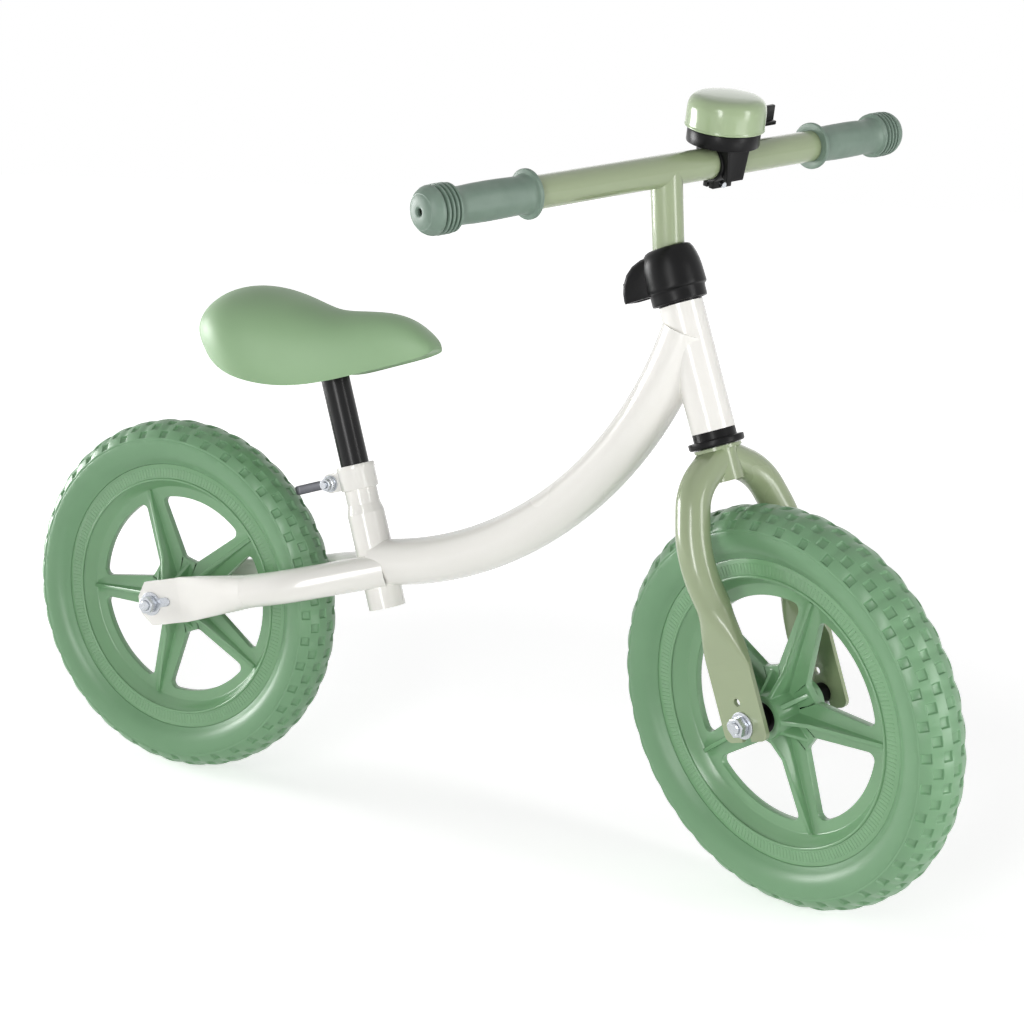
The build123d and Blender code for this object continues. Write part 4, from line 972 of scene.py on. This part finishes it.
# %% Bell dome
UPRIGHT = Matrix.Rotation(pi / 2, 4, "X")
DOME_FOOT = 24.2
DOME_STEPS = 96
DOME_EDGE = 0.0003
dome_outside = (
    (27.3, 0), (27.8, 0.4), (27.8, 1.2), (27.4, 1.8), (27.4, 5), (27.4, 10), (27.2, 14),
    (26.7, 16.4), (25.7, 18.6), (24.1, 20.4), (21.9, 21.6), (19.0, 22.2), (12.0, 22.7),
    (5.0, 23), (0, 23),
)
dome_inside = ((0, 21.6), (14.0, 21.2), (21.5, 19.6), (24.6, 16.5), (25.8, 12), (25.9, 0))
dome_profile = [
    (radius / 1000, (rise + DOME_FOOT) / 1000) for radius, rise in dome_outside + dome_inside
]
bell_cap = turn_on_lathe("bell_cap", dome_profile, DOME_STEPS)
round_edges(bell_cap, DOME_EDGE, segments=2, angle=30)
settle(bell_cap, BELL @ UPRIGHT)
mount(bell_cap, "handlebar", "bell_paint", angle=34, replaces=["bell_dome"])

# %% Bell neck over the bar
NECK_FRONT = 0.0168
NECK_BACK = -0.0150
NECK_TOP = 0.0140
NECK_FOOT = -0.0100
NECK_W = 0.0220
NECK_TAPER = 0.72
NECK_SLANT = (0.36, 0, 0.93)
NECK_EDGE = 0.0009
PANEL_INSET = 0.0034
PANEL_DEPTH = 0.0009
deselect_everything()
bpy.ops.mesh.primitive_cube_add(
    size=1, location=((NECK_FRONT + NECK_BACK) / 2, 0, (NECK_TOP + NECK_FOOT) / 2)
)
neck = bpy.context.object
neck.name = "bell_neck"
neck.scale = (NECK_FRONT - NECK_BACK, NECK_W, NECK_TOP - NECK_FOOT)
bpy.ops.object.transform_apply(location=True, rotation=True, scale=True)
start_editing(neck)
pick_faces(neck, lambda centre, normal: normal.z < -0.9)
bpy.ops.transform.resize(value=(1, NECK_TAPER, 1), center_override=(0, 0, 0))
bpy.ops.mesh.select_all(action="SELECT")
bpy.ops.mesh.bisect(
    plane_co=(NECK_FRONT, 0, NECK_FOOT), plane_no=NECK_SLANT, clear_inner=True, use_fill=True
)
pick_faces(neck, lambda centre, normal: normal.x > 0.9)
bpy.ops.mesh.inset(thickness=PANEL_INSET, depth=-PANEL_DEPTH)
stop_editing()
round_edges(neck, NECK_EDGE, segments=2, angle=25)
print("neck has", len(neck.data.polygons), "faces before its bore")

# %% Bore of the bell neck
STRAP_R = 0.01345
BORE_LENGTH = 0.04
deselect_everything()
bpy.ops.mesh.primitive_cylinder_add(
    vertices=64, radius=STRAP_R, depth=BORE_LENGTH, rotation=(pi / 2, 0, 0)
)
bore = bpy.context.object
apply_modifier(neck, "BOOLEAN", object=bore, operation="DIFFERENCE", solver="EXACT")
bpy.data.objects.remove(bore)
settle(neck, BELL)
mount(neck, "handlebar", "black_plastic", angle=34)

# %% [markdown]
# ## Clamp hood
# A moulded hood hides the stem clamp. It is a smooth egg-shaped dome with a brim over a narrower
# skirt, and a rounded bonnet stands out on one side over the clamp's lugs, with curved ribs over
# it. The dome is turned on the lathe. The bonnet is skinned through slices that swell at each
# rib, and hollowed from below, where the lugs and their bolt show.

# %% Hood dome
CLAMP_ANGLE = radians(205)
HOOD_FOOT = 290.5
STEM_SHIFT = 0.0022
HOOD_TOP = 0.038
MOUTH_START = 0.033
MOUTH_R = 0.0119
HOOD_STEPS = 80
HOOD_EDGE = 0.0004
CLAMP = STEER @ Matrix.Rotation(CLAMP_ANGLE, 4, "Z")
hood_outside = (
    (18.8, 0), (19.2, 0.4), (19.3, 2), (19.3, 6.5), (19.6, 8.2), (20.9, 9.2), (21.2, 10.2),
    (21.1, 12), (21.0, 16), (20.8, 21), (20.3, 26), (19.3, 30.5), (17.6, 34.4), (15.4, 37),
    (13.4, 38), (11.9, 38),
)
hood_inside = ((11.9, 34), (15.8, 28), (17.6, 12), (17.4, 0))
hood_profile = [
    (radius / 1000, (rise + HOOD_FOOT) / 1000) for radius, rise in hood_outside + hood_inside
]
hood = turn_on_lathe("clamp_hood", hood_profile, HOOD_STEPS)
settle(hood, STEM @ UPRIGHT)
mouth = HOOD_FOOT / 1000 + MOUTH_START
for vertex in hood.data.vertices:
    local = STEM.inverted() @ vertex.co
    if local.z > mouth:
        opening = (local.z - mouth) / (HOOD_TOP - MOUTH_START) * STEM_SHIFT / 2
        local.x += opening * (1 + local.x / MOUTH_R)
        vertex.co = STEM @ local
round_edges(hood, HOOD_EDGE, segments=2, angle=34)
mount(hood, "fork", "black_plastic", angle=40, replaces=["clamp_cover"])

# %% Slices of the bonnet
BONNET_FOOT = 8
BONNET_HALF = 13.5
BONNET_ROOT = 8
BONNET_REACH = 27
bonnet_outline = (
    (BONNET_ROOT, 0), (35.2, 0), (35.5, 2), (34.9, 7), (33.0, 13), (29.4, 18.6), (24.0, 23),
    (17.0, 25.6), (BONNET_ROOT, 26.2),
)
RIBS = (-8.4, -2.8, 2.8, 8.4)
RIB_FOOT = 1.3
RIB_TOP = 0.8
RIB_RISE = 0.9
# Place of each slice across the bonnet, and how far it swells there.
slices = [(-BONNET_HALF, -3.0), (-13.0, -1.3), (-12.0, -0.3), (-10.8, 0)]
for middle in RIBS:
    slices += [(middle - RIB_FOOT, 0), (middle - RIB_TOP, RIB_RISE)]
    slices += [(middle + RIB_TOP, RIB_RISE), (middle + RIB_FOOT, 0)]
slices += [(10.8, 0), (12.0, -0.3), (13.0, -1.3), (BONNET_HALF, -3.0)]


def bonnet_ring(across, swell):
    """One slice of the bonnet, its outline grown about its foot by a rib's height."""
    ring = []
    grow = 1 + swell / BONNET_REACH
    for reach, rise in bonnet_outline:
        out = BONNET_ROOT + (reach - BONNET_ROOT) * grow
        height = HOOD_FOOT + BONNET_FOOT + rise * grow
        ring.append(Vector((out / 1000, across / 1000, height / 1000)))
    return ring


print("slices of the bonnet:", len(slices))

# %% Skin and hollow the bonnet
HOLLOW_HALF = 0.0108
HOLLOW_FROM = 0.01
HOLLOW_WALL = 0.0018
HOLLOW_DEPTH = 0.014
BONNET_EDGE = 0.0004


def over_lugs(centre, normal):
    """True on faces of the underside that stand over the lugs of the clamp."""
    return normal.z < -0.95 and abs(centre.y) < HOLLOW_HALF and centre.x > HOLLOW_FROM


bonnet_rings = [bonnet_ring(*piece) for piece in slices]
bonnet_rings = [pinched(bonnet_rings[0], 0)] + bonnet_rings + [pinched(bonnet_rings[-1], 0)]
bonnet = skin_over("clamp_bonnet", bonnet_rings)
start_editing(bonnet)
pick_faces(bonnet, over_lugs)
bpy.ops.mesh.inset(thickness=HOLLOW_WALL, depth=0)
bpy.ops.mesh.extrude_region_move(TRANSFORM_OT_translate={"value": (0, 0, HOLLOW_DEPTH)})
stop_editing()
round_edges(bonnet, BONNET_EDGE, segments=2, angle=40)
settle(bonnet, CLAMP)
mount(bonnet, "fork", "black_plastic", angle=40)

# %% [markdown]
# ## Camera
# The picture is taken from the right front, a little above the bike, with a long lens. The camera
# is turned about its own view by a small angle, and shifted because the bike doesn't stand in the
# middle of the picture.

# %% Camera
VIEW_AZIMUTH = radians(30)
VIEW_ELEVATION = radians(12)
VIEW_ROLL = radians(2.1)
VIEW_TARGET = Vector((-0.01567, 0, 0.2323))
VIEW_DISTANCE = 1.4571
PICTURE = 1024
FOCAL_PIXELS = 1928.8
PRINCIPAL_POINT = (440, 530)

toward_camera = Vector((
    sin(VIEW_AZIMUTH) * cos(VIEW_ELEVATION),
    -cos(VIEW_AZIMUTH) * cos(VIEW_ELEVATION),
    sin(VIEW_ELEVATION),
))
level_right = Vector((cos(VIEW_AZIMUTH), sin(VIEW_AZIMUTH), 0))
level_up = toward_camera.cross(level_right)
rolled_right = level_right * cos(VIEW_ROLL) + level_up * sin(VIEW_ROLL)
rolled_up = level_up * cos(VIEW_ROLL) - level_right * sin(VIEW_ROLL)

lens = bpy.data.cameras.new("studio_camera")
lens.sensor_width = 36
lens.lens = FOCAL_PIXELS / PICTURE * lens.sensor_width
lens.shift_x = (PICTURE / 2 - PRINCIPAL_POINT[0]) / PICTURE
lens.shift_y = (PRINCIPAL_POINT[1] - PICTURE / 2) / PICTURE
camera = bpy.data.objects.new("studio_camera", lens)
bpy.context.scene.collection.objects.link(camera)
turn = Matrix((rolled_right, rolled_up, toward_camera)).transposed().to_4x4()
camera.matrix_world = Matrix.Translation(VIEW_TARGET + toward_camera * VIEW_DISTANCE) @ turn
bpy.context.scene.camera = camera
print("camera at", camera.matrix_world.translation, "lens", round(lens.lens, 1))

# %% [markdown]
# ## Light and floor
# The bike stands in soft studio light: two tall strips give the long streaks on the tubes, a
# panel at the left and a low one in front put a sheen on the tyres, and two weak panels fill in
# from above and behind. The floor is plain and pale and sends some light up under the tubes. To
# the camera it adds a glow of its own, more so farther out, so it comes out white but still keeps
# the bike's shadow.

# %% Lamps
def softbox(name, azimuth, elevation, distance, width, height, power):
    """Rectangular lamp that looks at the middle of the bike."""
    lamp = bpy.data.lights.new(name, "AREA")
    lamp.shape = "RECTANGLE"
    lamp.size = width
    lamp.size_y = height
    lamp.energy = power
    a = radians(azimuth)
    e = radians(elevation)
    back = Vector((sin(a) * cos(e), -cos(a) * cos(e), sin(e)))
    lamp_object = bpy.data.objects.new(name, lamp)
    lamp_object.location = VIEW_TARGET + back * distance
    lamp_object.rotation_mode = "QUATERNION"
    lamp_object.rotation_quaternion = back.to_track_quat("Z", "Y")
    bpy.context.scene.collection.objects.link(lamp_object)


# Name, azimuth and elevation in degrees, distance, width and height in metres, and power in watts.
LAMPS = (
    ("strip_by_camera", 11, 11, 2.2, 0.40, 1.7, 22),
    ("strip_in_front", 86, 9, 2.2, 0.5, 1.6, 16),
    ("panel_low_front", 78, -7, 1.0, 0.45, 0.30, 0.9),
    ("panel_left", -84, 3, 2.3, 1.1, 0.9, 46),
    ("panel_above", 20, 80, 2.4, 2.0, 2.0, 2.5),
    ("panel_behind", 190, 25, 2.6, 1.6, 1.4, 4),
)
for lamp_values in LAMPS:
    softbox(*lamp_values)

# %% Helpers for the world and the floor
def seen_directly(tree):
    """Socket that is 1 for rays from the camera, mirrors and glass, and 0 for light on the bike."""
    path = tree.nodes.new("ShaderNodeLightPath")
    total = path.outputs["Is Camera Ray"]
    for other in ("Is Glossy Ray", "Is Transmission Ray"):
        add = tree.nodes.new("ShaderNodeMath")
        add.operation = "MAXIMUM"
        tree.links.new(total, add.inputs[0])
        tree.links.new(path.outputs[other], add.inputs[1])
        total = add.outputs[0]
    return total


def ramp(tree, value, span, ends):
    """Map a socket's value from a span to the two values at its ends."""
    ramp_node = tree.nodes.new("ShaderNodeMapRange")
    for label, number in zip(("From Min", "From Max", "To Min", "To Max"), span + ends):
        ramp_node.inputs[label].default_value = number
    tree.links.new(value, ramp_node.inputs["Value"])
    return ramp_node.outputs["Result"]


# %% World
FILL_LIGHT = 0.34
FILL_ABOVE = 0.06
world = bpy.data.worlds.new("white_studio")
world.use_nodes = True
bpy.context.scene.world = world
sky_tree = world.node_tree
sky = sky_tree.nodes["Background"]
sky.inputs["Color"].default_value = (1, 1, 1, 1)
aim = sky_tree.nodes.new("ShaderNodeTexCoord")
split = sky_tree.nodes.new("ShaderNodeSeparateXYZ")
sky_tree.links.new(aim.outputs["Generated"], split.inputs["Vector"])
fill = ramp(sky_tree, split.outputs["Z"], (0.0, 1.0), (FILL_LIGHT, FILL_ABOVE))
strength = sky_tree.nodes.new("ShaderNodeMix")
strength.inputs["B"].default_value = 1.0
sky_tree.links.new(fill, strength.inputs["A"])
sky_tree.links.new(seen_directly(sky_tree), strength.inputs["Factor"])
sky_tree.links.new(strength.outputs["Result"], sky.inputs["Strength"])
print("fill light", FILL_LIGHT, "from the side and", FILL_ABOVE, "from above")

# %% Floor
FLOOR_R = 14.0
FLOOR_POINTS = 96
FLOOR_GLOW = 0.60
GLOW_GROWS = (0.6, 1.9)
FLOOR_LIGHT = 0.24
deselect_everything()
bpy.ops.mesh.primitive_circle_add(vertices=FLOOR_POINTS, radius=FLOOR_R, fill_type="NGON")
floor = bpy.context.object
floor.name = "studio_floor"
pale = bpy.data.materials.new("pale_floor")
pale.use_nodes = True
pale_tree = pale.node_tree
pale_shader = pale_tree.nodes["Principled BSDF"]
pale_shader.inputs["Base Color"].default_value = (0.84, 0.84, 0.84, 1)
pale_shader.inputs["Roughness"].default_value = 0.9
pale_shader.inputs["Specular IOR Level"].default_value = 0.1
pale_shader.inputs["Emission Color"].default_value = (1, 1, 1, 1)
floor_where = pale_tree.nodes.new("ShaderNodeTexCoord")
away = pale_tree.nodes.new("ShaderNodeVectorMath")
away.operation = "LENGTH"
pale_tree.links.new(floor_where.outputs["Object"], away.inputs[0])
grown = ramp(pale_tree, away.outputs["Value"], GLOW_GROWS, (FLOOR_GLOW, 1.0))
glow = pale_tree.nodes.new("ShaderNodeMix")
glow.inputs["A"].default_value = FLOOR_LIGHT
pale_tree.links.new(grown, glow.inputs["B"])
pale_tree.links.new(seen_directly(pale_tree), glow.inputs["Factor"])
pale_tree.links.new(glow.outputs["Result"], pale_shader.inputs["Emission Strength"])
floor.data.materials.append(pale)
floor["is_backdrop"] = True
print("floor radius", FLOOR_R, "glow", FLOOR_GLOW)

# %% Sizes and finish
bpy.context.scene.view_settings.view_transform = "Standard"
low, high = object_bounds()
grown_low = [round(v * 1000, 1) for v in cad_low - low]
grown_high = [round(v * 1000, 1) for v in high - cad_high]
print("visual grew by", grown_low, grown_high, "mm")
